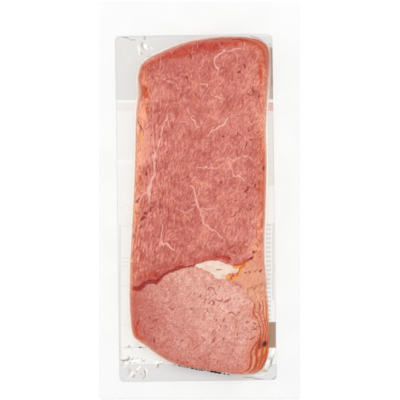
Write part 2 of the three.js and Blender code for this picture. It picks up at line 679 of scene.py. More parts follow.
class Mark(Enum):
    """What a mark on a slice is made of; the value names its point attribute. On the lower slices
    the fatty mark also carries painted highlights along their edges, and the dark red and crusty
    marks also carry painted shade in the crevices between the slices.
    """

    VEIN = "vein"
    SEAM = "seam"
    FAT_AND_HIGHLIGHT = "fat_and_highlight"
    BLOOD_AND_SHADE = "blood_and_shade"
    BROWN = "brown"
    CRUST_AND_SHADE = "crust_and_shade"
    GOLD = "gold"
    HEAT = "warmth"
    RED = "red"
    SALMON = "salmon"
    LOWER = "lower"
    TONE = "tone"
    FIBRE = "fibre"
    PEPPER = "pepper"


def boxed(points: np.ndarray, at: np.ndarray, reach: float) -> np.ndarray:
    """Gives the numbers of the places that lie within reach of the points' box."""
    low, high = points.min(0) - reach, points.max(0) + reach
    return np.flatnonzero(((at > low) & (at < high)).all(axis=1))


@dataclass(frozen=True)
class Stroke:
    """A drawn line, or a spot if it has one point."""

    mark: Mark
    points: np.ndarray
    half_width: float
    strength: float
    soft: float = 0.7
    taper: float = 0.5
    sunk: float = 0.0

    def path(self) -> np.ndarray:
        """Gives the stroke's smooth path."""
        return curve_through(self.points, CURVE_STEPS, False)

    def weight(self, at: np.ndarray) -> np.ndarray:
        """Gives the stroke's strength at places, half of it at its own edge.

        Args:
            at: The places.

        Returns:
            The strength at each place.
        """
        path = self.path()
        weight = np.zeros(len(at))
        close = boxed(path, at, self.half_width + self.soft)
        far, along = path_distance(path, at[close])
        swell = 1.0 - self.taper * (1.0 - np.sqrt(np.clip(np.sin(np.pi * along), 0.0, 1.0)))
        held = np.clip(0.5 + (self.half_width * swell - far) / self.soft, 0.0, 1.0)
        weight[close] = self.strength * held
        return weight


def strokes(
    mark: Mark, text: str, soft: float = 0.7, taper: float = 0.5, sunk: float = 0.0
) -> tuple[Stroke, ...]:
    """Reads strokes from text with one on each line.

    Args:
        mark: What they are made of.
        text: Lines of half width, strength, a bar, and points as "x y" with commas between.
        soft: The width of their soft edges.
        taper: How much thinner their ends are.
        sunk: How deep they lie.

    Returns:
        The strokes.
    """
    return tuple(
        Stroke(mark, points, half_width, strength, soft, taper, sunk)
        for (half_width, strength), points in lines_read(text)
    )


@dataclass(frozen=True)
class Patch:
    """A filled area with a soft edge."""

    mark: Mark
    outline: str
    soft: float = 1.0
    strength: float = 1.0
    sunk: float = 0.0

    def ring(self) -> np.ndarray:
        """Gives the patch's smooth outline."""
        return curve_through(pairs_read(self.outline), CURVE_STEPS, True)

    def weight(self, at: np.ndarray) -> np.ndarray:
        """Gives the patch's strength at places, half of it on its outline.

        Args:
            at: The places.

        Returns:
            The strength at each place.
        """
        ring = self.ring()
        weight = np.zeros(len(at))
        close = boxed(ring, at, self.soft)
        depth = ring_depth(ring, at[close])
        weight[close] = self.strength * np.clip(depth / self.soft + 0.5, 0.0, 1.0)
        return weight


@dataclass(frozen=True)
class Cloud:
    """A soft oval of a mark; in the tone, above 0 is paler and below 0 is deeper."""

    mark: Mark
    centre: Point
    reach: Point
    amount: float

    def weight(self, at: np.ndarray) -> np.ndarray:
        """Gives the cloud's amount at places."""
        away = (at - np.array(self.centre)) / np.array(self.reach)
        return self.amount * np.exp(-(away**2).sum(axis=1))


def clouds(mark: Mark, text: str) -> tuple[Cloud, ...]:
    """Reads clouds from lines of centre x and y, reach x and y, and amount."""
    return tuple(Cloud(mark, (x, y), (a, b), amount) for x, y, a, b, amount in rows_read(text))


SEAM_LINE = (
    "-46.5 -59.8, -44 -61.2, -42 -62.2, -39 -59.6, -37 -57.2, -34 -56.8, -30.8 -57, -28.6 -55.4,"
    " -27 -53.4, -24.4 -51.9, -21 -50.4, -17 -49.3, -12 -47, -6.6 -46.2, -2.2 -44.6"
)
FAT_OUTLINE = (
    "-3 -46.2, 2 -43.6, 6 -42.7, 10.2 -42.3, 15 -43, 20.3 -45.4, 25.4 -46.6, 27.7 -48,"
    " 26 -50.4, 22 -51.6, 18.6 -55, 15 -55.4, 11.8 -54.7, 9.6 -52.6, 6.6 -50, 2 -48"
)
SALMON_OUTLINE = (
    "28.6 -47, 31 -44.6, 34.4 -42.6, 38.6 -39.4, 41.8 -35, 44 -31, 47.5 -34, 48 -53, 47 -60.8,"
    " 38 -63.5, 33 -64.6, 30.4 -60, 25.5 -57.4, 22.8 -56.4, 25.4 -53, 27 -50.4"
)
LOWER_OUTLINE = (
    "-54 -60, -44 -61.6, -42 -62.4, -39 -60, -37 -58, -30.8 -57.8, -28.6 -55.8, -24.4 -52.2,"
    " -17 -49.6, -6.6 -47, -3 -46.4, 2 -48.2, 6.6 -50.2, 9.6 -52.8, 13 -55.4, 19 -55.4, 24 -58,"
    " 31 -61.5, 60 -66, 60 -130, -54 -130"
)

VEINS = strokes(Mark.VEIN, """
0.5 1.0 | 17.4 104.4, 15 102.4, 13 101, 11 99.5, 10.3 98, 10.5 96, 10.9 94.4, 12 92.4, 14.4 90.2
0.4 0.95 | 17 104.6, 19 104.1, 21 103.6, 23 104.8, 25.5 105.5, 28.2 106, 29.5 105.2
0.3 0.65 | 7.4 103.4, 8.8 101.8, 10.4 99.4
0.9 0.55 | 31.6 110, 31.2 107.2, 31 105
0.45 0.6 | -31.2 86, -30 84.4, -26.4 84, -24 83.4, -20 82.4, -17.2 81.4, -14.6 78, -12.8 76.6
0.4 0.5 | -24.4 85.6, -23.6 84.6
0.4 1.0 | 0 81.2, 2.4 80.4, 4 80.8, 5.4 80, 6 78.6
0.25 0.5 | 0.4 82, 1.2 80.8
0.4 0.85 | 7.6 75.6, 8.4 73.6, 10 72.4, 12.4 72, 15.4 71.2, 17 70.2
0.5 0.8 | -8.6 64.4, -8 63, -7.2 61.4, -6.6 60
0.5 1.0 | -6 58.4, -5.2 56.6, -3.6 55.2, -2.8 53.4, -2.2 52, -0.6 51, 0.2 51
0.35 0.6 | -2.8 52, -3 50, -2.8 48.4
0.6 1.0 | 19.8 57.4, 18.4 55, 17 53, 15 51.4, 12.6 50.4, 11 49.4, 9 48.4, 7 46.4, 5.4 45.2
0.35 0.6 | 22 61.4, 22.8 60, 25 58, 28 57.2
0.4 0.8 | 33.4 56.6, 34.4 54.4, 35.8 53, 37 53.6, 39 54.6, 41 55.4, 43.6 55.8
0.3 0.6 | 35.8 53, 35.4 50.4, 36.4 48.4
0.5 0.95 | -22 60.4, -22 58, -22.8 56.4, -24.3 54.4, -25 52, -25.8 50, -26.3 47.4, -27 45
0.4 0.8 | -22.4 56.6, -22 54, -21.3 51.4, -20.8 50.2
0.4 0.6 | -29.8 54, -29.5 52, -29.8 49.4
0.7 0.9 | -27.2 43.4, -28.2 40, -28.3 37
0.4 0.8 | -32.2 46, -32 43, -31.8 40, -31.3 37
0.3 0.5 | -22.4 38.4, -20 37.8, -17 37.2, -14 38.2, -10.8 38
0.35 0.35 | -6 37, 0 36.6, 8 36
0.8 1.0 | -30.5 34, -31 32, -31.5 30, -31.8 28
0.5 0.9 | -31.8 28.4, -31.5 25, -31.5 22, -31 20
0.8 1.0 | -31 20.4, -31.5 17.6, -32.6 15.4, -33.5 13, -34.5 10.4
1.5 1.0 | -34.4 11, -35.3 7.6, -35.4 4.8, -35 3
0.5 0.9 | -35.2 4, -34.9 1.4, -35.2 -1.6
0.45 0.95 | -36 5.4, -38.6 4.3, -40 2.5, -41.2 0.4, -42.4 -1
0.3 0.7 | -40.6 -1, -39.2 -0.6, -38 0.4
0.7 0.8 | -33.2 31.6, -32 29.4
0.3 0.65 | -19.6 12.2, -16 12.6, -11 12.3
0.35 0.6 | -6.6 20.4, -6.8 22.4, -5 22.6, -2 23
0.4 0.85 | -2 23, 0 22.8, 3 22.4, 5 23.3,\
 5.6 22.5, 7 22, 9 22.7, 11 21.8, 12 22.4, 14 23.4, 15.6 24.4, 17.4 25.2
0.4 0.8 | 20 30.4, 20.6 28.6, 22.6 28,\
 25 28.2, 27.4 28.8, 29 30, 31 31, 33 30.4, 36 29, 37.6 27, 39 25
0.45 0.85 | 20.6 27.6, 21.5 24, 22.8 21, 23.5 18.6, 24.4 16.5, 27 17, 29 15, 31.6 14
0.35 0.6 | 4.8 13.4, 5 10, 5 8.4
0.3 0.5 | 37 5, 39.6 6.4
0.5 0.95 | -6 10.4, -4.6 8.4, -3.8 6, -3 3, -2.6 1
0.8 1.0 | -2.6 1, -2 -1.2, -1.4 -3.4, -0.4 -5.6
0.45 0.8 | -4.8 -4.2, -3 -3.2, -1.8 -2.6
0.45 0.95 | -0.5 -5.4, 0.6 -8, 1.4 -11, 2.2 -14, 3.4 -17, 5 -17.6, 5.8 -17.8,\
 7.4 -20, 9 -21.2, 11.4 -21.7, 12 -22.7, 13 -24, 14.4 -25.8, 16 -26.5
0.35 0.8 | 0.4 -6, 4 -6.3, 10 -6.2, 12 -5.4
0.4 0.8 | -5.8 -5.8, -7 -7.4, -8.6 -9, -10 -8.6, -12 -7.6, -14 -7, -16 -6, -17.2 -7.4
0.35 0.7 | -24.8 -5, -24.3 -8.4, -24.5 -10, -25.3 -12.4
0.4 0.85 | -26 -16, -26 -19, -26.3 -22, -26.8 -26, -26.3 -29
0.6 1.0 | -26.4 -28, -25.8 -30.4, -24 -30.8,\
 -22.8 -30.2, -21.8 -31.4, -20.5 -33.2, -18.5 -34.3, -17.5 -35.2
0.4 0.8 | -25.6 -30.6, -25.6 -32.8
0.3 0.7 | -23.3 -29.4, -22 -27.4, -20 -26.4, -19.4 -25.4
0.3 0.55 | -15.6 -35, -16.2 -37, -15.6 -38.4
0.3 0.6 | -4.8 -36, -5 -38, -6 -41, -4.6 -44, -5 -45.6
0.3 0.5 | -20 -40, -20.8 -42, -21.2 -44
0.4 0.7 | -38.6 -13, -40 -14.8, -41.6 -17.6
0.4 0.65 | -42.3 -25, -42 -29.6, -42.6 -33
0.35 0.55 | 18.4 -11.6, 20.4 -13, 21.6 -13.2
0.3 0.55 | 17 -23.3, 20 -22.3, 21.6 -22
0.3 0.55 | 25.4 -20.4, 27 -22, 31 -23.6
0.4 0.9 | 31.6 -60.4, 33 -63.4, 34.4 -66.6, 36.6 -69, 38.4 -72
0.35 0.5 | -9 102.6
0.3 0.5 | -13.4 96
0.3 0.5 | -0.4 98
0.3 0.5 | -17.4 92.4
0.3 0.6 | -8.5 14.4
0.35 0.5 | -20 21
0.35 0.6 | 9 6.4
0.35 0.5 | 46.7 87
0.35 0.6 | 47.2 83
0.35 0.6 | -14.8 -34
0.3 0.6 | -1.5 -32.4
0.3 0.5 | 7 -32
0.35 0.6 | 23.5 -27.4
0.3 0.5 | 31.5 -28.3
0.3 0.5 | 33.7 -15.4
0.3 0.5 | -16.2 -20.6
0.3 0.5 | -7.4 -20.8
0.35 0.5 | -38.4 -63
""", sunk=0.04)

BLOOD_MARKS = strokes(Mark.BLOOD_AND_SHADE, """
0.9 0.85 | 27 89.2, 28.2 88.4
0.75 0.85 | -9.4 86.2, -8.6 85
0.35 0.85 | -6.8 102.4, -6 99.8, -5 97.8
0.4 0.7 | -33 86.4, -32 84.2
0.3 0.6 | -24 87, -22.2 84.8, -19.6 83.8, -18.4 84.4
0.3 0.5 | -28.6 86, -26.6 84.4
0.35 0.8 | 30.8 95.8, 31.3 94, 31.8 92
0.45 0.6 | 21.8 94.6
0.35 0.5 | 16.4 102
0.8 0.5 | 36.8 79, 37.6 76.4, 38 75
0.6 0.45 | 33 75, 34.6 73.4, 36 72.8, 37.8 74
0.5 0.7 | 41 71.4, 42.2 73.2
0.4 0.6 | 40 93
0.4 0.6 | 43.4 93.4
0.4 0.65 | 42 98
0.3 0.5 | 24.4 83.6
0.3 0.6 | 13 75, 13.4 73.6
0.45 0.75 | 46.9 85
0.45 0.65 | 46 82.4, 45.6 79.4
0.7 0.4 | -37.4 77.4
0.7 0.4 | -37.2 73.6
0.3 0.8 | -39.3 93.4
0.3 0.75 | -43 55.6, -42.3 53.4, -41 51, -39.6 48, -39 45
0.3 0.55 | -34.6 68, -34.3 62
0.3 0.55 | -33.8 58.4, -33.5 57
0.35 0.6 | -35 57, -34.8 55.4
0.35 0.65 | -23.8 48, -24 46.8
0.3 0.6 | -25.2 46, -25.6 44.6
0.3 0.6 | -21.3 46
0.35 0.6 | -34 45.4, -33.8 44.4
0.5 0.5 | -28.4 45, -28.8 43
0.3 0.6 | -25.3 41, -25.2 37.6
0.3 0.6 | -5.6 73
0.7 0.9 | 16.6 44.3
0.4 0.85 | 26.6 47.6, 26.8 45
0.45 0.7 | 28.2 46, 28.8 44.8
0.55 0.9 | 34.3 48.4, 34.2 47.8
0.3 0.6 | 31.3 47.8
0.5 0.75 | 35.8 42.6, 35.8 41.6
0.55 0.8 | 32.5 41, 32.8 38.6, 32.4 37, 31.6 36.4
0.4 0.8 | 40.7 37.6, 40.7 36.2
0.4 0.6 | -31 32.8, -33 33
0.3 0.65 | -29.8 29, -30 24, -29.5 20.6, -29.3 18
0.3 0.4 | -24.5 29, -23.5 25, -22 22.4, -21.8 18
0.3 0.6 | -21.8 14.4, -21.8 11
0.45 0.6 | -38.8 23, -38.4 21.4
0.4 0.7 | -37.5 20, -37 17
0.35 0.6 | -26.8 11.4
0.35 0.65 | -37.6 2.4
0.35 0.6 | -32.8 4
0.45 0.9 | -44.6 -2, -42.6 0, -42 1.4
0.5 0.95 | -33 -4.6, -34.2 -8
0.3 0.5 | -9 15, -7.6 19, -8 22.4
0.3 0.6 | -3 9.6, -2.5 8.6
0.3 0.6 | -15.4 -6, -14.4 -6.2
0.55 0.8 | 4.5 6.7
0.5 0.6 | 9.2 26.6
0.6 0.7 | 33.5 27.4, 33.8 26
0.4 0.7 | 15 13, 14.6 11.2, 16 12.6
0.4 0.75 | 33.2 10, 33.5 7.6, 32 5.6
0.6 0.9 | 32.4 5.8
0.5 0.9 | 38.8 11, 38.6 8.6
0.35 0.6 | 41.3 11.4, 41.2 10
0.4 0.65 | 28 5, 28.3 4
0.4 0.7 | 25 -1, 26 -0.3
0.7 0.95 | 44.4 21, 45.1 23
0.4 0.6 | 43 19, 43.4 18
0.35 0.5 | 3 0.5
0.55 0.85 | 35.6 -6.6
0.3 0.5 | 29.5 -1.5
0.3 0.6 | 34.3 -3, 36 -3.6
0.3 0.5 | 2 -5, 6 -5.2
0.3 0.5 | 20.6 29.3, 23 29, 27 29.8
0.4 0.7 | 26.2 34, 26.1 31
1.2 0.6 | -38 -8.6, -37 -10
1.3 0.6 | -38.6 -11.4, -40.4 -14.4
0.4 0.7 | -40.6 -17.4, -41.8 -20
0.3 0.75 | -46.4 -22, -46.3 -27
0.5 0.85 | -47 -44
0.4 0.9 | -18 -39.4, -18.2 -41, -19 -43
0.35 0.6 | -32 -19, -30.6 -18.6
0.35 0.5 | -24 -19
0.35 0.6 | -21.8 -20.6
0.3 0.6 | -24 -29, -23 -28.6
0.3 0.65 | -22 -28.8, -21 -30.4, -19.6 -33
0.35 0.5 | -27.4 -36.6
0.35 0.6 | -6.6 -40, -6 -41.2
0.3 0.5 | -11 -38.4
0.35 0.4 | -35 -38, -35 -43
0.35 0.6 | 33.4 -17
0.45 0.5 | 37 -17, 38 -20
0.6 0.9 | 37.6 -37.2, 38.4 -35.8
0.4 0.6 | 40 -35, 39 -36.6
0.45 0.8 | 40.3 -32
0.5 0.95 | 33.6 -41.8, 35.4 -41, 37.2 -39.8
0.35 0.7 | 31 -50.6, 33 -50.2
0.5 0.8 | 34.6 -50.7
0.35 0.7 | 38.4 -50.4, 40 -48
0.45 0.9 | 42.2 -50.8, 43.2 -48.6
0.3 0.6 | 41.4 -40.6, 42.2 -39
0.5 0.9 | -21 -62.5
0.3 0.6 | -27.3 -66.2
0.5 0.9 | -34.6 -82
0.4 0.7 | -33 -85.4, -31 -84, -29.6 -83
0.5 0.7 | -40.8 -75.2
0.4 0.6 | -41.8 -81, -42.4 -84, -44 -87
0.45 0.85 | -34.6 -89.4, -33 -89.8
0.3 0.6 | -38.6 -87, -38.8 -92, -38.3 -94
0.4 0.7 | -31.5 -96, -31.5 -100
0.4 0.6 | -34 -97
0.35 0.7 | -15.5 -111.4, -15.5 -113.2
0.45 0.8 | 42 -88.3
""")

BROWN_MARKS = strokes(Mark.BROWN, """
0.35 0.85 | 22 -11.8, 24 -10.8, 26 -9.4, 27.6 -8, 29.2 -5.8
0.4 0.9 | 20 -34, 22 -33.2, 23.6 -32, 24.8 -31.4
0.55 1.0 | 22.8 -36.4, 25.6 -37.2
0.4 0.7 | 28 -33.4, 29.2 -35.6
0.35 0.7 | 31.4 -29.8, 32.6 -29.3
0.4 0.7 | 15.5 -34
0.4 0.6 | 18.4 -17
0.35 0.5 | 18 0.3, 23 0, 25 -0.6
0.4 0.85 | 5.5 -62.6, 6.4 -61.3, 8 -61.2, 9 -61.8, 10 -63, 11 -64.6, 12 -66
0.4 0.85 | 3.4 -70, 5.2 -69.3
0.4 0.8 | 6 -72, 8 -70.6, 9 -70.2, 10 -71, 9.7 -73
0.4 0.75 | 11 -69.2, 12.6 -69.7, 14 -70.3, 15.6 -70.3
0.4 0.85 | 17 -71.6, 18.4 -71, 19.5 -70, 20.6 -69.5
0.55 0.95 | 19.7 -74
0.6 0.95 | 14 -60
0.4 0.8 | 20.4 -79, 22 -78.7, 23 -78.7, 24.6 -79.6
0.35 0.7 | 26.4 -78.6, 28.2 -78.6
0.3 0.55 | 24 -80.2, 26 -80.5, 28.4 -79.6
0.35 0.7 | 5 -75.4, 6 -77, 7 -79
0.3 0.6 | 10.3 -81
0.4 0.75 | 12 -83, 11 -85
0.4 0.7 | 18 -82, 17 -84, 16 -85.6
0.35 0.6 | 31 -80.6
0.45 0.8 | 33.6 -84, 32 -85.8
0.5 0.95 | 0.5 -66.7
0.35 0.7 | 37 -85, 38.4 -86.4, 39.6 -85.4
0.4 0.75 | 36 -91, 38 -90, 39.6 -89
0.45 0.85 | 35.6 -97.4, 37.4 -96.3, 38.6 -95.3
0.35 0.7 | 18.6 -88, 17.6 -87
0.35 0.6 | 22 -91.4
0.4 0.75 | 26 -94.6, 27.4 -93.2
0.35 0.7 | 11 -90.4, 10 -91.4, 9 -92
0.35 0.7 | 10.4 -96, 10 -98, 9.2 -99.4
0.5 0.8 | 9.2 -99.2
0.4 0.8 | 17.6 -96.4, 16.2 -98.2
0.35 0.6 | 6.4 -98
0.4 0.7 | 2.4 -99, 3.6 -97
0.35 0.6 | 24.4 -96, 24.6 -98
0.35 0.6 | 33.4 -99.4
0.45 0.75 | -11.4 -97.4, -13.6 -98.6
0.35 0.6 | -0.4 -101, -2 -102.6, -4.6 -104.6
0.4 0.6 | -6 -108
0.4 0.6 | 0 -106
0.5 0.7 | -15 -58.3
0.5 0.5 | -18.4 -56
0.4 0.75 | -24.4 -67.4, -23 -67
0.4 0.7 | -26 -71
0.4 0.7 | -24.5 -72
0.4 0.7 | -28.7 -73.4
0.45 0.9 | -19.8 -76, -18.6 -76
0.7 0.7 | -6 -75.5
0.4 0.5 | -16 -69.4
0.4 0.5 | -17 -78
0.5 0.5 | -2 -73.4
0.35 0.5 | -10 -66
0.35 0.5 | -7 -65
0.4 0.5 | -31 -78.4
0.35 0.6 | -12 -90, -11 -90.2
0.4 0.5 | 23 -109.8
0.45 0.6 | 26 -115.4, 28 -114.8
0.4 0.5 | 23 -116.6
0.35 0.9 | 11.6 -48.6, 15.4 -48.6
""")

SEAM_MARKS = (
    *strokes(Mark.SEAM, f"0.45 1.0 | {SEAM_LINE}", 0.9, 0.45, 0.3),
    *strokes(Mark.SEAM, """
1.7 0.9 | -46 -61.6, -42 -61.8, -38.6 -58.6
1.5 0.85 | -38.6 -58, -34 -56.8, -30 -57, -26.4 -53.6
1.1 0.6 | -26.4 -53.2, -20 -49.4, -12 -46
0.3 0.5 | -2.2 -44.4, 4 -42, 10.8 -41.4, 16 -41.8
""", 1.0, 0.3, 0.2),
    *strokes(Mark.SEAM, """
1.3 0.42 | 11 -39.8, 15 -39.4, 19 -40, 21.4 -41.8
""", 2.2),
)

PEPPER_MARKS = (
    *strokes(Mark.PEPPER, """
0.7 1.0 | 44.5 -101.6, 45.3 -100.6, 46.2 -99.7
0.3 0.7 | 44 -102.3, 43.6 -102.6
0.35 0.8 | 44.9 22.8, 44.9 21
0.3 0.6 | -39.4 93, -39.2 92
""", 0.5),
    *strokes(Mark.BROWN, """
1.3 0.7 | 44 -102.4, 45.3 -100.6, 46.6 -99
0.8 0.7 | 45.6 -101.4, 46.4 -103
""", 0.9),
    *strokes(Mark.BLOOD_AND_SHADE, """
0.7 0.8 | 42.6 -97, 41.8 -99.4, 41.6 -101.6, 42.4 -104
""", 0.9),
)

# Marks on the lower slices: the pale lines are painted highlights along the slices' edges, the
# crusty and dark red lines are painted shade in the crevices between the fanned slices, and the
# gold is the meat's own colour.
FAN_MARKS = (
    *strokes(Mark.FAT_AND_HIGHLIGHT, """
0.4 1.0 | 14 113.6, 24 113.8, 33.9 112.9, 40.6 110.2, 44.8 106.4, 46.9 102, 47.3 96
0.3 0.8 | 47.2 90, 47 84, 46.8 79
""", 0.6),
    *strokes(Mark.BLOOD_AND_SHADE, """
0.4 0.7 | 4 111.6, 10.9 112.2, 18.8 112.6, 30.9 111.8, 36.8 110.4
""", 0.7),
    *strokes(Mark.CRUST_AND_SHADE, """
0.4 0.8 | 30.9 111.8, 36.8 110.4, 41.2 107.9, 44.6 104.3, 46.2 98.5
0.3 0.5 | 28 114.8, 36 113.8, 42 111, 46 107.6, 48 103
""", 0.6),
    *strokes(Mark.CRUST_AND_SHADE, """
0.75 1.0 | 40.8 -101.6, 39.3 -105.9, 40.2 -110.3, 39.3 -115.5, 37.5 -119.6
0.45 0.9 | 46.4 -104.6, 46.8 -106.8, 44.3 -110.3, 42.6 -114.7, 41.2 -118.4
0.6 0.7 | 46 97, 46.6 90, 46.4 82
""", 0.6),
    *strokes(Mark.BLOOD_AND_SHADE, """
0.3 0.6 | 40.6 -102.6, 39.4 -106, 40.1 -110, 39.2 -115
0.25 0.5 | 44.9 -109.4, 43.2 -113
""", 0.6),
    *strokes(Mark.GOLD, """
1.0 0.8 | 46 -104.4, 45.4 -107.4
0.8 0.7 | 43 -116.6, 41.4 -119.6
0.5 0.7 | 47.4 -76, 47.9 -84, 48.2 -92
""", 1.2),
)

CRUST_MARKS = (
    *strokes(Mark.CRUST_AND_SHADE, """
0.5 1.0 | 24.4 -45.2, 27.4 -45.4, 29.2 -44.6, 31.4 -43, 34 -41.8, 37 -40
0.45 0.8 | 34.2 -42, 31.8 -43.8, 29.8 -46.4, 27.8 -49, 26.7 -51.4
0.6 0.95 | 27 -50.8, 26.2 -52.6
0.6 0.8 | 24.6 -52.6, 22.8 -53.4, 22.5 -55.6
0.4 0.8 | 21.2 -52, 20.6 -52.4
0.5 0.8 | 13.7 -91.6, 13.6 -90.2
0.45 0.75 | 14.4 -88.6, 15.2 -87
0.5 0.7 | 44.6 -9, 44.2 -10.4
0.5 0.6 | 43.6 -13, 43.4 -19
0.35 0.6 | 40 -21, 39.8 -27
0.4 0.6 | 42 -28, 41.8 -31
0.6 0.7 | -44 -9
0.9 0.6 | -41.6 17, -40.8 13.4
1.1 1.0 | -45 -89, -44.8 -94.6, -42 -97.4
0.9 0.9 | -42 -97.4, -38.4 -99.8
0.5 0.6 | -12.4 -113.6, -11 -113.8
0.4 0.5 | 42.9 44, 42.6 35
0.5 0.6 | 42.4 29.6, 42.2 28
""", 0.8),
    *strokes(Mark.CRUST_AND_SHADE, """
1.9 0.6 | -38.6 79, -38 75.6, -37 71.6
1.4 0.4 | -36.6 67, -36 60
1.6 0.45 | 41.6 97, 42.6 88, 42.6 80
1.5 0.4 | 41.8 14, 42 4
""", 2.4),
    *strokes(Mark.GOLD, """
1.6 1.0 | 20.8 -52.2, 18.8 -54.6
1.0 0.8 | 23.4 -46.4, 26.6 -47, 29.6 -45.6, 33 -43.6
1.3 0.8 | 29.4 -46.4, 28.2 -50, 26 -53, 22.4 -56
0.8 0.9 | -42 46.4, -41 43.2, -42.4 39
0.7 0.7 | -44.2 16, -43.8 13.4
0.9 0.9 | -45.6 -4, -45.2 -12, -44.6 -15
0.8 0.6 | -41.6 71.4, -42 68
1.0 0.7 | -41 -98, -37.6 -100
0.8 0.6 | 45.6 -106, 45 -108
""", 1.4),
)

MEAT_PATCHES = (
    Patch(Mark.LOWER, LOWER_OUTLINE, 2.0),
    Patch(Mark.FAT_AND_HIGHLIGHT, FAT_OUTLINE, 1.6, 1.0, 0.08),
    Patch(Mark.SALMON, SALMON_OUTLINE, 2.0),
    Patch(Mark.FIBRE, "-60 78, -30 74, -18 40, -20 0, -22 -40, -60 -50", 18.0),
    Patch(Mark.RED, "-37 95, -30 99.5, -20 104, -10 108, 0 110, 15 111.5, 27 111, 27 107, 22 106.6,"
          " 16 106, 12.4 102.4, 4 104, -4 101.6, -12 98.6, -20 98.6, -30 95.4, -36 91", 3.6, 0.95),
    Patch(Mark.RED, "11 -37, 16 -37.6, 22 -40, 20.6 -43.4, 16 -42, 11 -40", 2.2, 1.0),
    Patch(Mark.RED, "-46 -57, -38 -55, -30 -55, -24 -50.6, -14 -46.2, -4 -43.4, 4 -41.6, 12 -41,"
          " 12 -38.4, 0 -39.2, -10 -42, -20 -44.4, -30 -48.4, -40 -51.4", 3.4, 0.75),
    Patch(Mark.HEAT, "-60 98, -39 96, -36.6 91, -35.4 84, -35.4 74, -35.6 66, -37 58, -39 50,"
          " -39.6 42, -39.6 28, -40 14, -40.6 2, -42 -8, -42.6 -20, -43.6 -34, -44 -50, -43 -64,"
          " -43 -80, -41 -98, -60 -98", 5.0, 0.95),
    Patch(Mark.HEAT, "34 112, 41.4 106.6, 43.6 100, 43.2 88, 42.8 76, 42.2 62, 41.8 48, 41.4 34,"
          " 41 20, 41 6, 41 -6, 39.8 -18, 39 -28, 36 -37, 60 -40, 60 112", 4.5, 0.9),
)

TONE_CLOUDS = clouds(Mark.TONE, """
-12 92 22 6 -0.25
34 86 10 8 0.3
-11 76 8 7 -0.25
-30 74 7 6 0.2
-19 64 7 4 -0.45
12 57 14 8 0.25
33 60 10 14 0.2
-3 45 10 6 -0.2
-34 36 6 12 0.35
-23 39 6 4 0.3
21 26 7 9 0.35
2 31 10 5 -0.2
-12 17 10 6 -0.25
38 28 4 9 -0.25
-19 -3 8 7 -0.3
-9 -9 7 7 -0.4
0 2 5 5 0.15
22 -8 8 8 0.1
-16 -20 10 9 -0.3
23 -24 8 12 0.2
38.5 -27 3.6 9 0.65
-24 -36 8 5 -0.3
8 -36 12 4 -0.3
-30 -44 14 4 -0.35
-46 -85 28 32 -1.05
0 -116 45 18 -0.35
18 -68 16 12 0.3
-10 -58 9 6 0.15
-39 42 4 20 1.15
0 100 40 12 -0.2
2 -112 34 10 -0.2
-40 -70 6 14 -0.15
-38.6 -11 3 5 -0.4
""")

FAN_CLOUDS = (
    *clouds(Mark.CRUST_AND_SHADE, """
43 -99 3 5 0.2
"""),
    *clouds(Mark.GOLD, """
46 -105.4 2 4.6 0.75
42 -112 5 8 0.26
"""),
    *clouds(Mark.HEAT, """
45 -104 8 15 0.9
46 -86 4 8 0.5
"""),
    *clouds(Mark.TONE, """
36 114 10 2 0.3
44 -66 6 14 0.1
42 -108 7 12 -0.1
"""),
)


@dataclass(frozen=True)
class RimTint:
    """How a slice's rim is coloured round its outline."""

    mark: Mark
    width: float
    table: str

    def weight(self, place: np.ndarray, far: np.ndarray, wander: np.ndarray) -> np.ndarray:
        """Gives the tint's strength.

        Args:
            place: The nearest place on the outline, as a station number.
            far: The distance from the outline in millimetres.
            wander: An unevenness from about -1 to 1.

        Returns:
            The strength at each point.
        """
        reach = np.maximum(self.width * (1.0 + 0.3 * wander), 0.05)
        return round_rim(pairs_read(self.table), place) * np.clip(1.25 - far / reach, 0.0, 1.0)


TOP_RIM_TINTS = (
    RimTint(Mark.BROWN, 0.4, "0 0.4, 1 0.1, 3 0.4, 5 0.4, 6 0, 24 0, 28 0.3, 29 0, 34.6 0.4,"
            " 35.6 0.4"),
    RimTint(Mark.FAT_AND_HIGHLIGHT, 0.45, "1.4 0, 2.2 0.3, 4.8 0.4, 5.6 0, 34 0"),
    RimTint(Mark.RED, 4.8, "0 0, 0.6 0.5, 1 0.8, 2 0.9, 3 0.55, 3.6 0.4, 4.6 0.25, 5.4 0.1, 6 0,"
            " 7.6 0, 8 0.2, 8.8 0.2, 9.4 0, 23 0, 24 0.2, 26 0.2, 28 0.3, 29 0, 34 0"),
    RimTint(Mark.CRUST_AND_SHADE, 2.8, "0 0.3, 0.4 0.1, 2 0.15, 3.2 0.1, 4 0.35, 5.2 0.35, 6 0.1, 7.4 0.2,"
            " 8 0.65, 9 0.6, 9.6 0.35, 11 0.2, 12 0, 27.3 0.1, 27.7 0.95, 28.5 0.85, 29 0,"
            " 33.4 0, 34 0.9, 34.6 0.6, 35.4 0.5"),
    RimTint(Mark.CRUST_AND_SHADE, 1.3, "14.8 0, 15.8 0.35, 17.4 0.4, 18 0.2, 19 0.25, 21 0.4, 22 0.5,"
            " 23.4 0.4, 24 0.35, 25.4 0, 26 0"),
    RimTint(Mark.HEAT, 5.5, "0 1, 0.7 0.3, 2 0, 3.6 0.4, 4.4 0.9, 6 0.9, 11 0.9, 12 0, 15 0.1,"
            " 16 0.5, 19 0.6, 21 0.8, 23 0.7, 24 0.4, 25 0.15, 26.6 0.3, 27.4 0.9, 28.6 0.8,"
            " 29.4 0.6, 31 0.9, 34 0.9"),
)
# How strong the painted shade is in the gap beside the slice above, round each lower slice's rim.
CREVICE_SHADE_ROUND = np.array([
    (0, 0.8), (3, 0.9), (5, 1.0), (11, 0.7), (12, 0.2), (12.6, 0.0), (14.6, 0.0), (15.6, 1.0),
    (17.2, 1.0), (18, 0.7), (19, 1.0), (20, 1.25), (23.4, 1.25), (24.2, 0.5), (27, 0.6), (34, 0.8),
])
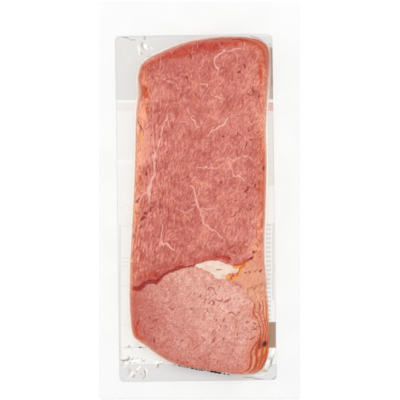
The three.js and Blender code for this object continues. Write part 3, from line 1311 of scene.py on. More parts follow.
FAN_RIM_TINTS = (
    # The fatty tint along each lower slice's rim is a painted highlight along its edge.
    RimTint(Mark.FAT_AND_HIGHLIGHT, 0.5, "0.4 0, 1.6 0.3, 2.4 0.55, 5.4 0.6, 6.4 0, 14.4 0, 15.4 0.25,"
            " 21.4 0.3, 22.4 0, 34 0"),
    RimTint(Mark.RED, 6.0, "0 0.2, 1.5 0.8, 3 0.85, 3.6 0.75, 4.6 0.5, 5.2 0.3, 6 0, 34 0"),
    RimTint(Mark.CRUST_AND_SHADE, 1.2, "0 0.4, 2 0.3, 3 0.3, 4 0.55, 5.4 0.5, 7 0.1, 12 0, 15 0, 19 0.1,"
            " 20.5 0.3, 22 0.4, 23.2 0.4, 24 0.2, 25 0, 27.8 0.4, 29 0, 34 0.3"),
    RimTint(Mark.HEAT, 5.0, "3.4 0, 4.2 0.9, 6 0.7, 7 0.4, 10 0.4, 12 0, 34 0.4"),
)


# ---------------------------------------------------------------- finishes


@dataclass(frozen=True)
class Coat:
    """How one drawn mark is laid over the flesh.

    Its edge is gain times the mark plus the fray times ragged, and rises from low to high.
    """

    mark: Mark
    gain: float
    ragged: float
    low: float
    high: float
    share: float
    colour: Colour


GROUNDS = (
    (Mark.SALMON, under_film(231, 161, 133)),
    (Mark.HEAT, under_film(227, 142, 116)),
    (Mark.RED, under_film(196, 84, 72)),
)
COATS = (
    Coat(Mark.GOLD, 1.3, 1.2, 0.1, 0.8, 0.9, under_film(240, 164, 92)),
    Coat(Mark.CRUST_AND_SHADE, 1.2, 1.0, 0.1, 0.6, 0.85, under_film(204, 88, 50)),
    Coat(Mark.BROWN, 1.15, 1.0, 0.12, 0.65, 0.85, under_film(172, 84, 58)),
    Coat(Mark.BLOOD_AND_SHADE, 1.15, 1.0, 0.12, 0.75, 0.9, under_film(152, 44, 32)),
    Coat(Mark.SEAM, 1.2, 2.2, 0.1, 0.8, 0.9, under_film(162, 54, 47)),
    Coat(Mark.VEIN, 1.0, 1.0, 0.26, 0.85, 0.85, under_film(243, 188, 175)),
    Coat(Mark.PEPPER, 1.3, 0.6, 0.15, 0.6, 1.0, under_film(108, 38, 20)),
)


@dataclass(frozen=True)
class BeefFinish:
    """Moist smoked beef under film, coloured by the slice's marks."""

    name: str
    upper: Colour
    lower: Colour
    glow: Colour = under_film(222, 132, 104)
    fleck: Colour = under_film(240, 184, 170)
    net: Colour = under_film(238, 178, 165)
    pore: Colour = under_film(180, 92, 76)
    fat_and_highlight_deep: Colour = under_film(236, 204, 184)
    fat_and_highlight_pale: Colour = under_film(245, 224, 210)
    deep_gain: Colour = (0.746, 0.43, 0.42, 1.0)
    pale_gain: Colour = (1.3, 1.85, 1.89, 1.0)

    def material(self) -> bpy.types.Material:
        """Builds the material."""
        graph = Graph(self.name)
        at = graph.places()
        mark = {m: graph.attribute(m.value) for m in Mark}
        lower, fat_and_highlight = mark[Mark.LOWER], mark[Mark.FAT_AND_HIGHLIGHT]
        hue = graph.noise(at, 7.0, 3.0, 0.6)
        grain = graph.noise(graph.warped(at, 4.0, 0.6), 8.0, 3.0, 0.6)
        streak = self.streaks(graph, at)
        pores, flecks, net = self.dashes(graph, graph.warped(at, 5.0, 0.9), lower)
        flesh = graph.blend(lower, self.upper, self.lower)
        flesh = graph.blend(hue.rise(0.5, 0.7) * 0.35, flesh, self.glow)
        for ground, colour in GROUNDS:
            flesh = graph.blend(mark[ground], flesh, colour)
        tone = self.tone(graph, at, mark, grain, streak)
        flesh = graph.toned(flesh, tone, self.deep_gain, self.pale_gain)
        flesh = graph.blend(flecks * (0.4 - lower * 0.3), flesh, self.fleck)
        flesh = graph.blend(net * (0.5 - lower * 0.35), flesh, self.net)
        flesh = graph.blend(pores * 0.6, flesh, self.pore)
        fray = (graph.noise(at, 1.3, 2.0, 0.6) - 0.5) * 0.6
        # The fatty patch, and on the lower slices the painted highlights along their edges, take
        # this pale cream.
        cream = graph.blend(
            graph.noise(at, 4.0, 3.0).rise(0.3, 0.7), self.fat_and_highlight_deep, self.fat_and_highlight_pale
        )
        flesh = graph.blend((fat_and_highlight + fray * 0.5).rise(0.25, 0.75), flesh, cream)
        # The crusty and dark red coats also lay painted shade in the crevices between the lower
        # slices.
        for coat in COATS:
            edge = (mark[coat.mark] * coat.gain + fray * coat.ragged).rise(coat.low, coat.high)
            flesh = graph.blend(edge * coat.share, flesh, coat.colour)
        height = grain * 1.6 + streak * mark[Mark.FIBRE] * 0.4 - pores * 0.3
        surface = graph.shader("ShaderNodeBsdfPrincipled", {
            "Base Color": flesh,
            "Roughness": 0.36 + hue * 0.16 + fat_and_highlight * 0.08,
            "Specular IOR Level": 0.16,
            "Normal": graph.bump(height, 0.2, 0.6),
        })
        return graph.finished(surface)

    @staticmethod
    def tone(graph: Graph, at: Wire, mark: dict[Mark, Wire], grain: Wire, streak: Wire) -> Wire:
        """Gives how deep or pale the flesh is, calmer in the lower muscle and the notch.

        Args:
            graph: The material.
            at: Places in millimetres.
            mark: The marks.
            grain: The broad grain.
            streak: The long fibres.

        Returns:
            The tone, about -1 where it is deep to 1 where it is pale.
        """
        lower = mark[Mark.LOWER]
        woven = graph.stretched(graph.warped(at, 9.0, 3.0), 65.0, (3.4, 1.1, 2.0))
        weave = graph.noise(woven, 1.0, 2.0, 0.65)
        fine = graph.noise(graph.warped(at, 2.0, 0.4), 1.1, 1.0)
        rough = (grain - 0.5) * 2.6 + (weave - 0.5) * 3.6
        rough = rough + (streak - 0.5) * (mark[Mark.FIBRE] * 3.0 + 0.8)
        rough = rough + (fine - 0.5) * (1.0 + lower * 3.0)
        calm = (lower * 0.55).most(mark[Mark.SALMON] * 0.75)
        return mark[Mark.TONE] + rough * (1.0 - calm)

    @staticmethod
    def streaks(graph: Graph, at: Wire) -> Wire:
        """Draws the muscle's long fibres, which bow to the left in the middle of the slice.

        Args:
            graph: The material.
            at: Places in millimetres.

        Returns:
            The streaks from 0 to 1.
        """
        across, along, _ = graph.axes(graph.warped(at, 8.0, 0.8))
        bowed = across - (along / 16.0).cosine() * 2.2
        laid = graph.node("ShaderNodeCombineXYZ", None, {0: bowed / 1.2, 1: along / 9.0})
        return graph.noise(Wire(graph, laid.outputs[0]), 1.0, 2.0)

    @staticmethod
    def dashes(graph: Graph, at: Wire, lower: Wire) -> tuple[Wire, Wire, Wire]:
        """Scatters the short pores, the pale flecks and the faint network of the marbling.

        Args:
            graph: The material.
            at: Places in millimetres.
            lower: The share of the lower muscle, which has the most of them.

        Returns:
            The pores, the flecks and the network, from 0 to 1.
        """
        long, short, round_ones, flecks = (
            graph.ovals(graph.stretched(at, turn, (length, width, 4.0)), reach, share)
            for turn, length, width, reach, share in (
                (50.0, 4.4, 0.9, 0.34, 0.13), (-20.0, 3.8, 0.9, 0.34, 0.1),
                (20.0, 1.5, 1.4, 0.26, 0.06), (70.0, 3.6, 1.2, 0.34, 0.08),
            )
        )
        pores = long.most(short).most(round_ones)
        swayed = graph.warped(at, 9.0, 2.6)
        coarse = graph.network(graph.stretched(swayed, 10.0, (7.0, 9.0, 9.0)), 0.045)
        fine = graph.network(graph.stretched(swayed, -30.0, (3.6, 4.6, 4.0)), 0.05)
        broken = graph.noise(at, 6.0, 1.0).rise(0.45, 0.6)
        return pores * (lower * 0.6 + 0.4), flecks, coarse.most(fine * 0.5) * broken


@dataclass(frozen=True)
class FilmFinish:
    """Thin clear film: a faint gloss, and over it a creamy halo beside the stack that is partly the
    film's own milk-white stretch and partly painted reflection, painted highlights on the creases'
    crests and painted shade on their flanks.
    """

    name: str = "clear_film_gloss"
    # The halo's colour (partly the film's milk-white stretch, partly painted reflection), the
    # painted highlight on crests and the painted shade on flanks.
    stretched: Colour = paint(252, 238, 226)
    painted_crest_highlight: Colour = paint(254, 254, 250)
    shaded: Colour = paint(160, 156, 142)

    def material(self) -> bpy.types.Material:
        """Builds the material."""
        graph = Graph(self.name)
        at = graph.places()
        wave = graph.noise(graph.warped(at, 20.0, 5.0), 9.0, 2.0)
        normal = graph.bump(wave, 0.3, 0.35)
        weight = graph.node("ShaderNodeLayerWeight", None, {"Blend": 0.5})
        slope = Wire(graph, weight.outputs["Facing"])
        mirror = 0.012 + 0.1 * slope**4
        clear = graph.mixed(
            mirror,
            graph.shader("ShaderNodeBsdfTransparent", {"Color": WHITE}),
            graph.shader("ShaderNodeBsdfAnisotropic", {"Roughness": 0.12, "Normal": normal}),
        )
        halo, crest, flank = (graph.attribute(a) for a in ("halo", "crest", "flank"))
        fray = (graph.noise(at, 1.8, 2.0) - 0.5) * 0.5
        colour = graph.blend(crest.rise(0.02, 0.2), self.stretched, self.painted_crest_highlight)
        colour = graph.blend((flank - crest * 0.7).rise(0.02, 0.2), colour, self.shaded)
        milk_and_painted_light = graph.shader("ShaderNodeBsdfPrincipled", {
            "Base Color": colour,
            "Roughness": 0.3 + wave * 0.1,
            # A faint glow, painted light, keeps the halo and the crests bright beside the stack's
            # shade.
            "Emission Color": colour,
            "Emission Strength": 0.2,
        })
        share = halo.most(crest).most(flank)
        shown = (share * (1.0 + fray)).rise(0.0, 1.0, "LINEAR")
        return graph.finished(graph.mixed(shown, clear, milk_and_painted_light))


@dataclass(frozen=True)
class PrintFinish:
    """Opaque white print, satin and very slightly uneven."""

    name: str = "white_frame_print"

    def material(self) -> bpy.types.Material:
        """Builds the material."""
        graph = Graph(self.name)
        at = graph.places()
        wave = graph.noise(at, 26.0, 2.0)
        peel = graph.noise(at, 0.9, 1.0)
        surface = graph.shader("ShaderNodeBsdfPrincipled", {
            "Base Color": graph.blend(wave.rise(0.3, 0.7), paint(240, 241, 240),
                                      paint(243, 244, 243)),
            "Roughness": 0.42 + peel * 0.08,
            "Normal": graph.bump(wave * 0.8 + peel * 0.05, 0.25, 0.5),
        })
        return graph.finished(surface)


@dataclass(frozen=True)
class PrintField:
    """One plain rectangle of print on the back film."""

    left: float
    right: float
    top: float
    bottom: float
    colour: Colour
    strength: float = 1.0
    soft: float = 0.35
    pitch: float = 0.0


@dataclass(frozen=True)
class BackFinish:
    """Pale printed back film: plain fields of colour, stronger on its outer face."""

    name: str = "back_film_print"
    fields: tuple[PrintField, ...] = (
        PrintField(-60.0, 60.0, 114.8, 69.9, behind_margin(229, 228, 226)),
        PrintField(46.0, 60.0, 107.6, 70.7, behind_margin(216, 196, 178), 0.9, 0.8),
        PrintField(49.4, 60.0, 106.6, 78.0, behind_margin(176, 150, 130), 0.9, 1.0),
        PrintField(49.4, 60.0, 80.0, 70.7, behind_margin(192, 182, 168), 0.9, 1.0),
        PrintField(-60.0, 60.0, 69.9, 68.8, behind_margin(250, 249, 248)),
        PrintField(-60.0, 0.0, 68.4, 62.3, behind_margin(240, 236, 234)),
        PrintField(0.0, 60.0, 68.4, 62.3, behind_margin(229, 194, 188)),
        PrintField(-60.0, -44.0, 62.3, 28.2, behind_margin(243, 243, 241)),
        PrintField(-60.0, 0.0, 28.0, 25.2, behind_margin(248, 248, 247)),
        PrintField(46.0, 60.0, 62.3, 10.0, behind_margin(234, 233, 229)),
        # A grey strip 1.4 mm wide just inside the window's left edge.
        PrintField(-56.4, -55.0, -18.2, -112.0, behind_margin(232, 232, 230)),
        PrintField(-56.4, -30.0, -17.6, -18.6, behind_margin(234, 234, 232), 0.8),
        *(PrintField(-54.3, -46.6, y + 0.4, y - 0.4, behind_margin(235, 234, 232), 0.8)
          for y in (-40.6, -43.4, -46.2, -60.2, -87.5, -103.6)),
        PrintField(50.8, 52.4, -16.1, -70.0, behind_margin(226, 225, 221), 0.8),
        PrintField(46.0, 50.0, -16.1, -84.0, behind_margin(220, 218, 211), 0.8, 0.3, 3.15),
        PrintField(48.4, 53.4, -85.4, -103.4, behind_margin(170, 138, 114), 0.95, 0.5),
        PrintField(-60.0, 60.0, -114.8, -128.0, behind_margin(229, 228, 228)),
    )

    def material(self) -> bpy.types.Material:
        """Builds the material."""
        graph = Graph(self.name)
        places = graph.places()
        across, along, up = graph.axes(graph.warped(places, 24.0, 0.25))
        colour = graph.blend(graph.noise(places, 18.0, 2.0), behind_margin(243, 243, 241),
                             behind_margin(247, 247, 245))
        outer = up.rise(0.1, 0.05)
        for patch in self.fields:
            cover = across.within(patch.left, patch.right, patch.soft) * along.within(
                patch.bottom, patch.top, patch.soft
            )
            if patch.pitch:
                cover = cover * (along / patch.pitch).fraction().within(0.2, 0.7, 0.12)
            colour = graph.blend(cover * patch.strength, colour, patch.colour)
        fine = graph.noise(places, 0.5, 1.0)
        surface = graph.shader("ShaderNodeBsdfPrincipled", {
            "Base Color": graph.blend(outer * 0.35, colour, paint(206, 208, 210)),
            "Roughness": 0.38 + fine * 0.12,
            "Normal": graph.bump(graph.noise(places, 12.0, 2.0), 0.2, 0.5),
        })
        return graph.finished(surface)


@dataclass(frozen=True)
class SpeckFinish:
    """A small speck, such as a dab of jelly or a dark bead along the stack's foot, with its own two
    colours.
    """

    name: str
    dark: Colour
    pale: Colour
    roughness: float

    def material(self) -> bpy.types.Material:
        """Builds the material."""
        graph = Graph(self.name)
        grain = graph.noise(graph.places(), 0.5, 2.0)
        surface = graph.shader("ShaderNodeBsdfPrincipled", {
            "Base Color": graph.blend(grain.rise(0.3, 0.7), self.dark, self.pale),
            "Roughness": self.roughness + grain * 0.2,
            "Specular IOR Level": 0.2,
            "Normal": graph.bump(grain, 0.15, 0.7),
        })
        return graph.finished(surface)


@dataclass(frozen=True)
class FloorFinish:
    """A plain pale studio floor."""

    name: str = "studio_floor"

    def material(self) -> bpy.types.Material:
        """Builds the material."""
        graph = Graph(self.name)
        grain = graph.noise(graph.places(), 40.0, 2.0)
        surface = graph.shader("ShaderNodeBsdfPrincipled", {
            "Base Color": graph.blend(grain, (0.98, 0.98, 0.98, 1.0), (0.99, 0.99, 0.99, 1.0)),
            "Roughness": 0.9,
            "Specular IOR Level": 0.1,
        })
        return graph.finished(surface)


# ---------------------------------------------------------------- outlines of the slices


@dataclass
class Outline:
    """A slice's rim, read by station numbers that run clockwise from its left shoulder."""

    points: np.ndarray

    @classmethod
    def of_node(cls, node: str) -> "Outline":
        """Reads the rim of a packed slice.

        Args:
            node: The slice's node.

        Returns:
            Its outline in millimetres, clockwise, from its first station.
        """
        plate = bmesh.new()
        plate.from_mesh(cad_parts[node].data)
        bmesh.ops.remove_doubles(plate, verts=plate.verts, dist=MERGE)
        middle = sum(v.co.z for v in plate.verts) / len(plate.verts)
        upright = [f for f in plate.faces if abs(f.normal.z) < 0.5]
        walls = {e for f in upright for e in f.edges}
        rim = {e for e in walls if all(v.co.z > middle for v in e.verts)}
        start = min(
            (v for e in rim for v in e.verts),
            key=lambda v: math.dist(v.co.xy / MM, FIRST_POINT),
        )
        ring, current, before = [start], start, None
        while True:
            ahead = [e.other_vert(current) for e in current.link_edges if e in rim]
            before, current = current, next(v for v in ahead if v is not before)
            if current is start:
                break
            ring.append(current)
        points = np.array([v.co.xy[:] for v in ring]) / MM
        plate.free()
        following = np.roll(points, -1, 0)
        area = (points[:, 0] * following[:, 1] - following[:, 0] * points[:, 1]).sum() / 2
        if area > 0:
            points = np.roll(points[::-1], 1, 0)
        return cls(np.roll(points, FIRST_STATION * len(points) // STATIONS, 0))

    def at(self, stations: np.ndarray) -> np.ndarray:
        """Gives the smooth rim's points at station numbers.

        Args:
            stations: The station numbers.

        Returns:
            The points.
        """
        count = len(self.points)
        place = np.asarray(stations) * count / STATIONS
        whole = np.floor(place).astype(int)
        share = (place - whole)[:, None]
        return between(tuple(self.points[(whole + k) % count] for k in (-1, 0, 1, 2)), share)

    def outward(self, stations: np.ndarray) -> np.ndarray:
        """Gives the direction out of the slice at station numbers."""
        step = self.at(stations + 0.12) - self.at(stations - 0.12)
        out = np.column_stack([-step[:, 1], step[:, 0]])
        return out / np.hypot(*out.T)[:, None]

    def ring(self, steps: int = 4) -> np.ndarray:
        """Gives the whole rim as a closed ring of points."""
        count = len(self.points) * steps
        return self.at(np.arange(count) * STATIONS / count)

    def roughened(self, seed: int, reach: float) -> "Outline":
        """Gives the outline with a small unevenness of its own.

        Args:
            seed: Its own seed.
            reach: The farthest shift in millimetres.

        Returns:
            The roughened outline, with several points for each of the old ones.
        """
        fine = self.ring()
        count = len(fine)
        stations = np.arange(count) * STATIONS / count
        broad, close = Ripple(seed, 7.0), Ripple(seed + CLOSE_RIM_SEED, 2.4)
        shift = 0.6 * broad.at(fine) + 0.4 * close.at(fine)
        held = np.clip(shift, -1.5, 1.0)[:, None] - 0.3
        return Outline(fine + self.outward(stations) * held * reach)

    def nearest(self, at: np.ndarray) -> tuple[np.ndarray, np.ndarray]:
        """Gives each place's distance from the rim and the station number it is nearest to.

        Args:
            at: The places.

        Returns:
            The distances and the station numbers.
        """
        ring = self.ring(1)
        closed = np.vstack([ring, ring[:1]])
        lengths = np.hypot(*(closed[1:] - closed[:-1]).T)
        run = np.concatenate([[0.0], np.cumsum(lengths)])
        far, along = path_distance(closed, at)
        stations = np.interp(along * run[-1], run, np.arange(len(run)) * STATIONS / len(ring))
        return far, stations


# ---------------------------------------------------------------- shared mesh work


class SidedPatch:
    """A four-sided smooth patch that fills a slice's outline."""

    WIDTH, LENGTH = 92.0, 214.0
    SIDE_SAMPLES, SIDE_SHARES = 400, 1001

    def __init__(self, outline: Outline, cell: float, rim: tuple[float, ...]) -> None:
        """Lays out the patch's rows and columns.

        Args:
            outline: The outline to fill.
            cell: The size of a cell in millimetres.
            rim: Distances of the finer rows from the rim, in millimetres.
        """
        self.outline = outline
        shoulder, right, foot, heel = CORNERS
        self.top = self._even(shoulder, right)
        self.right = self._even(foot, right)
        self.bottom = self._even(heel, foot)
        self.left = self._even(heel, shoulder + STATIONS)
        self.across = self._graded(self.WIDTH, cell, rim)
        self.along = self._graded(self.LENGTH, cell, rim)

    def _even(self, start: float, end: float) -> np.ndarray:
        """Spreads stations from one corner to the next evenly by length.

        Args:
            start: The first corner.
            end: The next corner.

        Returns:
            The station numbers.
        """
        stations = np.linspace(start, end, self.SIDE_SAMPLES)
        points = self.outline.at(stations)
        run = np.concatenate([[0.0], np.cumsum(np.hypot(*(points[1:] - points[:-1]).T))])
        return np.interp(np.linspace(0.0, 1.0, self.SIDE_SHARES), run / run[-1], stations)

    @staticmethod
    def _graded(length: float, cell: float, rim: tuple[float, ...]) -> np.ndarray:
        """Gives shares from 0 to 1 that start and end with the finer rows.

        Args:
            length: The length to share out.
            cell: The size of the cells between the rows.
            rim: Where the finer rows lie, from each end.

        Returns:
            The shares.
        """
        edge = np.array(rim) / length
        inner = max(int(round((length - 2 * rim[-1]) / cell)), 2)
        middle = np.linspace(edge[-1], 1.0 - edge[-1], inner + 1)
        return np.concatenate([[0.0], edge[:-1], middle, 1.0 - edge[:-1][::-1], [1.0]])

    @staticmethod
    def _side(stations: np.ndarray, share: np.ndarray) -> np.ndarray:
        """Gives station numbers at shares of one side."""
        return np.interp(share, np.linspace(0.0, 1.0, len(stations)), stations)

    def mesh(self) -> bmesh.types.BMesh:
        """Builds the flat patch at a height of 0, with each rim point's station in a layer."""
        made = bmesh.new()
        columns, rows = len(self.across) - 1, len(self.along) - 1
        bmesh.ops.create_grid(made, x_segments=columns, y_segments=rows, size=0.5)
        station = made.verts.layers.float.new("station")
        grid = np.array([v.co.xy[:] for v in made.verts])
        u = self.across[np.rint((grid[:, 0] + 0.5) * columns).astype(int)]
        v = self.along[np.rint((grid[:, 1] + 0.5) * rows).astype(int)]
        sides = [
            self._side(self.bottom, u), self._side(self.top, u),
            self._side(self.left, v), self._side(self.right, v),
        ]
        low, high, left, right = (self.outline.at(s) for s in sides)
        shoulder, upper, foot, heel = self.outline.at(np.array(CORNERS))
        u1, v1 = u[:, None], v[:, None]
        corners = (
            (1 - u1) * (1 - v1) * heel + u1 * (1 - v1) * foot
            + (1 - u1) * v1 * shoulder + u1 * v1 * upper
        )
        laid = (1 - v1) * low + v1 * high + (1 - u1) * left + u1 * right - corners
        on_side = [v == 0.0, v == 1.0, u == 0.0, u == 1.0]
        rim_station = np.select(on_side, sides, default=-1.0)
        for vert, place, at in zip(made.verts, laid, rim_station):
            vert.co = (*(place * MM), 0.0)
            vert[station] = at
        return made


def refine(
    mesh: bmesh.types.BMesh, wanted: list[np.ndarray], reaches: tuple[float, ...]
) -> None:
    """Splits the cells near drawn paths, once for each reach.

    Args:
        mesh: The mesh to split.
        wanted: The paths in millimetres.
        reaches: How far from a path edges are still split, for each pass.
    """
    for reach in reaches:
        mesh.verts.index_update()
        at = flat_places(mesh)
        near = np.zeros(len(at), dtype=bool)
        for path in wanted:
            close = boxed(path, at, reach)
            near[close] |= path_distance(path, at[close])[0] < reach
        edges = [e for e in mesh.edges if near[e.verts[0].index] and near[e.verts[1].index]]
        bmesh.ops.subdivide_edges(mesh, edges=edges, cuts=1, use_grid_fill=True)


def heights_set(mesh: bmesh.types.BMesh, heights: np.ndarray) -> None:
    """Sets the height of each vertex, in millimetres."""
    for vert, height in zip(mesh.verts, heights):
        vert.co.z = height * MM


def flat_places(mesh: bmesh.types.BMesh) -> np.ndarray:
    """Gives the vertices' places in the plane, in millimetres."""
    return np.array([v.co.xy[:] for v in mesh.verts]) / MM


def to_object(
    mesh: bmesh.types.BMesh, name: str, material: bpy.types.Material
) -> bpy.types.Object:
    """Turns a finished bmesh into an object of the scene.

    Args:
        mesh: The mesh, which is freed.
        name: The object's name.
        material: Its material.

    Returns:
        The object, at the origin.
    """
    data = bpy.data.meshes.new(name)
    mesh.to_mesh(data)
    mesh.free()
    data.materials.append(material)
    made = bpy.data.objects.new(name, data)
    bpy.context.scene.collection.objects.link(made)
    return made


def to_piece(
    mesh: bmesh.types.BMesh, name: str, material: bpy.types.Material
) -> bpy.types.Object:
    """Turns a finished bmesh into an object that rides on the pack."""
    made = to_object(mesh, name, material)
    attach(made, "root")
    return made


def smoothed(mesh: bmesh.types.BMesh) -> None:
    """Shades every face smooth."""
    for face in mesh.faces:
        face.smooth = True


def store(data: bpy.types.Mesh, name: str, values: np.ndarray) -> None:
    """Stores a number for each vertex as a point attribute."""
    layer = data.attributes.new(name, "FLOAT", "POINT")
    layer.data.foreach_set("value", np.ascontiguousarray(values, dtype=np.float32))


# ---------------------------------------------------------------- sub-assemblies


@dataclass
class Slice:
    """One slice of beef with a rounded rim and low relief."""

    number: int
    packed: Outline
    cell: float
    roughness: float
    rim_rows: tuple[float, ...] = (0.12, 0.3, 0.55, 1.0, 1.6)
    rim_radius: float = 0.5
    mark_passes: tuple[float, ...] = (1.5, 0.6)
    sway: float = 0.03
    # How far and how strongly painted shade spreads from the rim of the slice above.
    crevice_shade_reach: float = 0.65
    crevice_shade_share: float = 0.8
    above: "Slice | None" = None
    outline: Outline = field(init=False)

    def __post_init__(self) -> None:
        """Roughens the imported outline."""
        self.outline = self.packed.roughened(self.number, self.roughness)

    @property
    def node(self) -> str:
        """The CAD node that the slice replaces."""
        return f"slice_{self.number}"

    @property
    def bottom(self) -> float:
        """The height of its underside."""
        return BACK_TOP + SLICE_THICKNESS * (self.number - 1)

    @property
    def is_top(self) -> bool:
        """Whether it is the slice that shows its whole face."""
        return self.above is None

    @property
    def drawn(self) -> tuple:
        """The marks that are drawn on its face."""
        if not self.is_top:
            broad = (p for p in MEAT_PATCHES if p.mark in (Mark.LOWER, Mark.FIBRE))
            return (*FAN_MARKS, *PEPPER_MARKS, *broad)
        return (
            *VEINS, *SEAM_MARKS, *BLOOD_MARKS, *BROWN_MARKS, *CRUST_MARKS, *PEPPER_MARKS,
            *MEAT_PATCHES,
        )

    def build(self) -> bmesh.types.BMesh:
        """Builds the slice: its face, then its wall and its underside."""
        mesh = SidedPatch(self.outline, self.cell, self.rim_rows).mesh()
        if self.is_top:
            lines = [m.path() for m in self.drawn if isinstance(m, Stroke)]
            ring = next(m for m in MEAT_PATCHES if m.mark is Mark.FAT_AND_HIGHLIGHT).ring()
            refine(mesh, [*lines, np.vstack([ring, ring[:1]])], self.mark_passes)
        at = flat_places(mesh)
        far, _ = self.outline.nearest(at)
        heights_set(mesh, self.bottom + SLICE_THICKNESS + self.relief(at, far))
        rim = [e for e in mesh.edges if e.is_boundary]
        wall = bmesh.ops.extrude_edge_only(mesh, edges=rim)["geom"]
        for vert in (g for g in wall if isinstance(g, bmesh.types.BMVert)):
            vert.co.z = self.bottom * MM
        base = [g for g in wall if isinstance(g, bmesh.types.BMEdge)]
        smoothed(mesh)
        floor = bmesh.ops.contextual_create(mesh, geom=[e for e in base if e.is_boundary])
        for face in floor["faces"]:
            face.smooth = False
        bmesh.ops.recalc_face_normals(mesh, faces=mesh.faces)
        return mesh

    def relief(self, at: np.ndarray, far: np.ndarray) -> np.ndarray:
        """Gives how far the face lies below its top plane.

        Args:
            at: Places on the face.
            far: Their distances from the rim.

        Returns:
            The relief, never above 0.
        """
        inward = np.clip(1.0 - far / self.rim_radius, 0.0, 1.0)
        height = -self.rim_radius * (1.0 - np.sqrt(1.0 - 0.98 * inward**2))
        height += self.sway * (Ripple(self.number + RELIEF_SEED, 9.0).at(at) - 1.5)
        moved = wandered(at, MARKS_WANDER)
        for item in (m for m in self.drawn if m.sunk):
            height -= item.sunk * item.weight(moved)
        return np.minimum(height, 0.0)

    def dress(self, piece: bpy.types.Object) -> None:
        """Stores the slice's marks as point attributes.

        Args:
            piece: The slice's object.
        """
        data = piece.data
        flat = np.empty(len(data.vertices) * 3, dtype=np.float32)
        data.vertices.foreach_get("co", flat)
        at = flat.reshape(-1, 3)[:, :2].astype(float) / MM
        far, station = self.outline.nearest(at)
        moved = wandered(at, MARKS_WANDER)
        sums = {m: np.zeros(len(at)) for m in Mark}
        for item in self.drawn:
            sums[item.mark] = np.maximum(sums[item.mark], item.weight(moved))
        wander = Ripple(self.number + RIM_TINT_SEED, 6.0).at(at)
        for tint in TOP_RIM_TINTS if self.is_top else FAN_RIM_TINTS:
            sums[tint.mark] = np.maximum(sums[tint.mark], tint.weight(station, far, wander))
        for cloud in TONE_CLOUDS if self.is_top else FAN_CLOUDS:
            sums[cloud.mark] += cloud.weight(at)
        # Painted shade in the gap beside the slice above, laid in the crusty colour.
        if not self.is_top:
            out = -ring_depth(self.above.outline.ring(1), at)
            crevice_shade = np.clip(1.2 - np.clip(out, 0.0, None) / self.crevice_shade_reach, 0.0, 1.0)
            crevice_shade *= self.crevice_shade_share * round_rim(CREVICE_SHADE_ROUND, station)
            sums[Mark.CRUST_AND_SHADE] = np.maximum(sums[Mark.CRUST_AND_SHADE], crevice_shade)
        for mark, values in sums.items():
            store(data, mark.value, values)


@dataclass
class BeefStack:
    """The fanned stack of five slices."""

    count: int = 5
    roughness: float = 0.22
    face_cell: float = 0.95
    edge_cell: float = 1.4
    slices: list[Slice] = field(default_factory=list)

    def __post_init__(self) -> None:
        """Reads the outlines, from the top slice down."""
        above = None
        for number in range(self.count, 0, -1):
            cell = self.face_cell if above is None else self.edge_cell
            packed = Outline.of_node(f"slice_{number}")
            above = Slice(number, packed, cell, self.roughness, above=above)
            self.slices.append(above)

    def build(self, face: bpy.types.Material, edge: bpy.types.Material) -> None:
        """Builds and dresses every slice.

        Args:
            face: The top slice's material.
            edge: The other slices' material.
        """
        for cut in self.slices:
            material = face if cut.is_top else edge
            piece = to_piece(cut.build(), f"beef_{cut.node}", material)
            cut.dress(piece)
            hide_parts(cut.node)
            LOG.info("%s: %d faces", piece.name, len(piece.data.polygons))


@dataclass(frozen=True)
class Crease:
    """A ridge or a furrow pressed into the film's margin, with a painted highlight on its crest and
    painted shade on its flanks.
    """

    points: np.ndarray
    height: float
    half_width: float
    crest: float
    flank: float

    def path(self) -> np.ndarray:
        """Gives the crease's smooth path."""
        return curve_through(self.points, CURVE_STEPS, False)


def creases(text: str) -> tuple[Crease, ...]:
    """Reads creases from text with one on each line.

    Args:
        text: Lines of height, half width, painted highlight on the crest, painted shade on the
            flank, a bar, and points.

    Returns:
        The creases.
    """
    return tuple(Crease(points, *sizes) for sizes, points in lines_read(text))
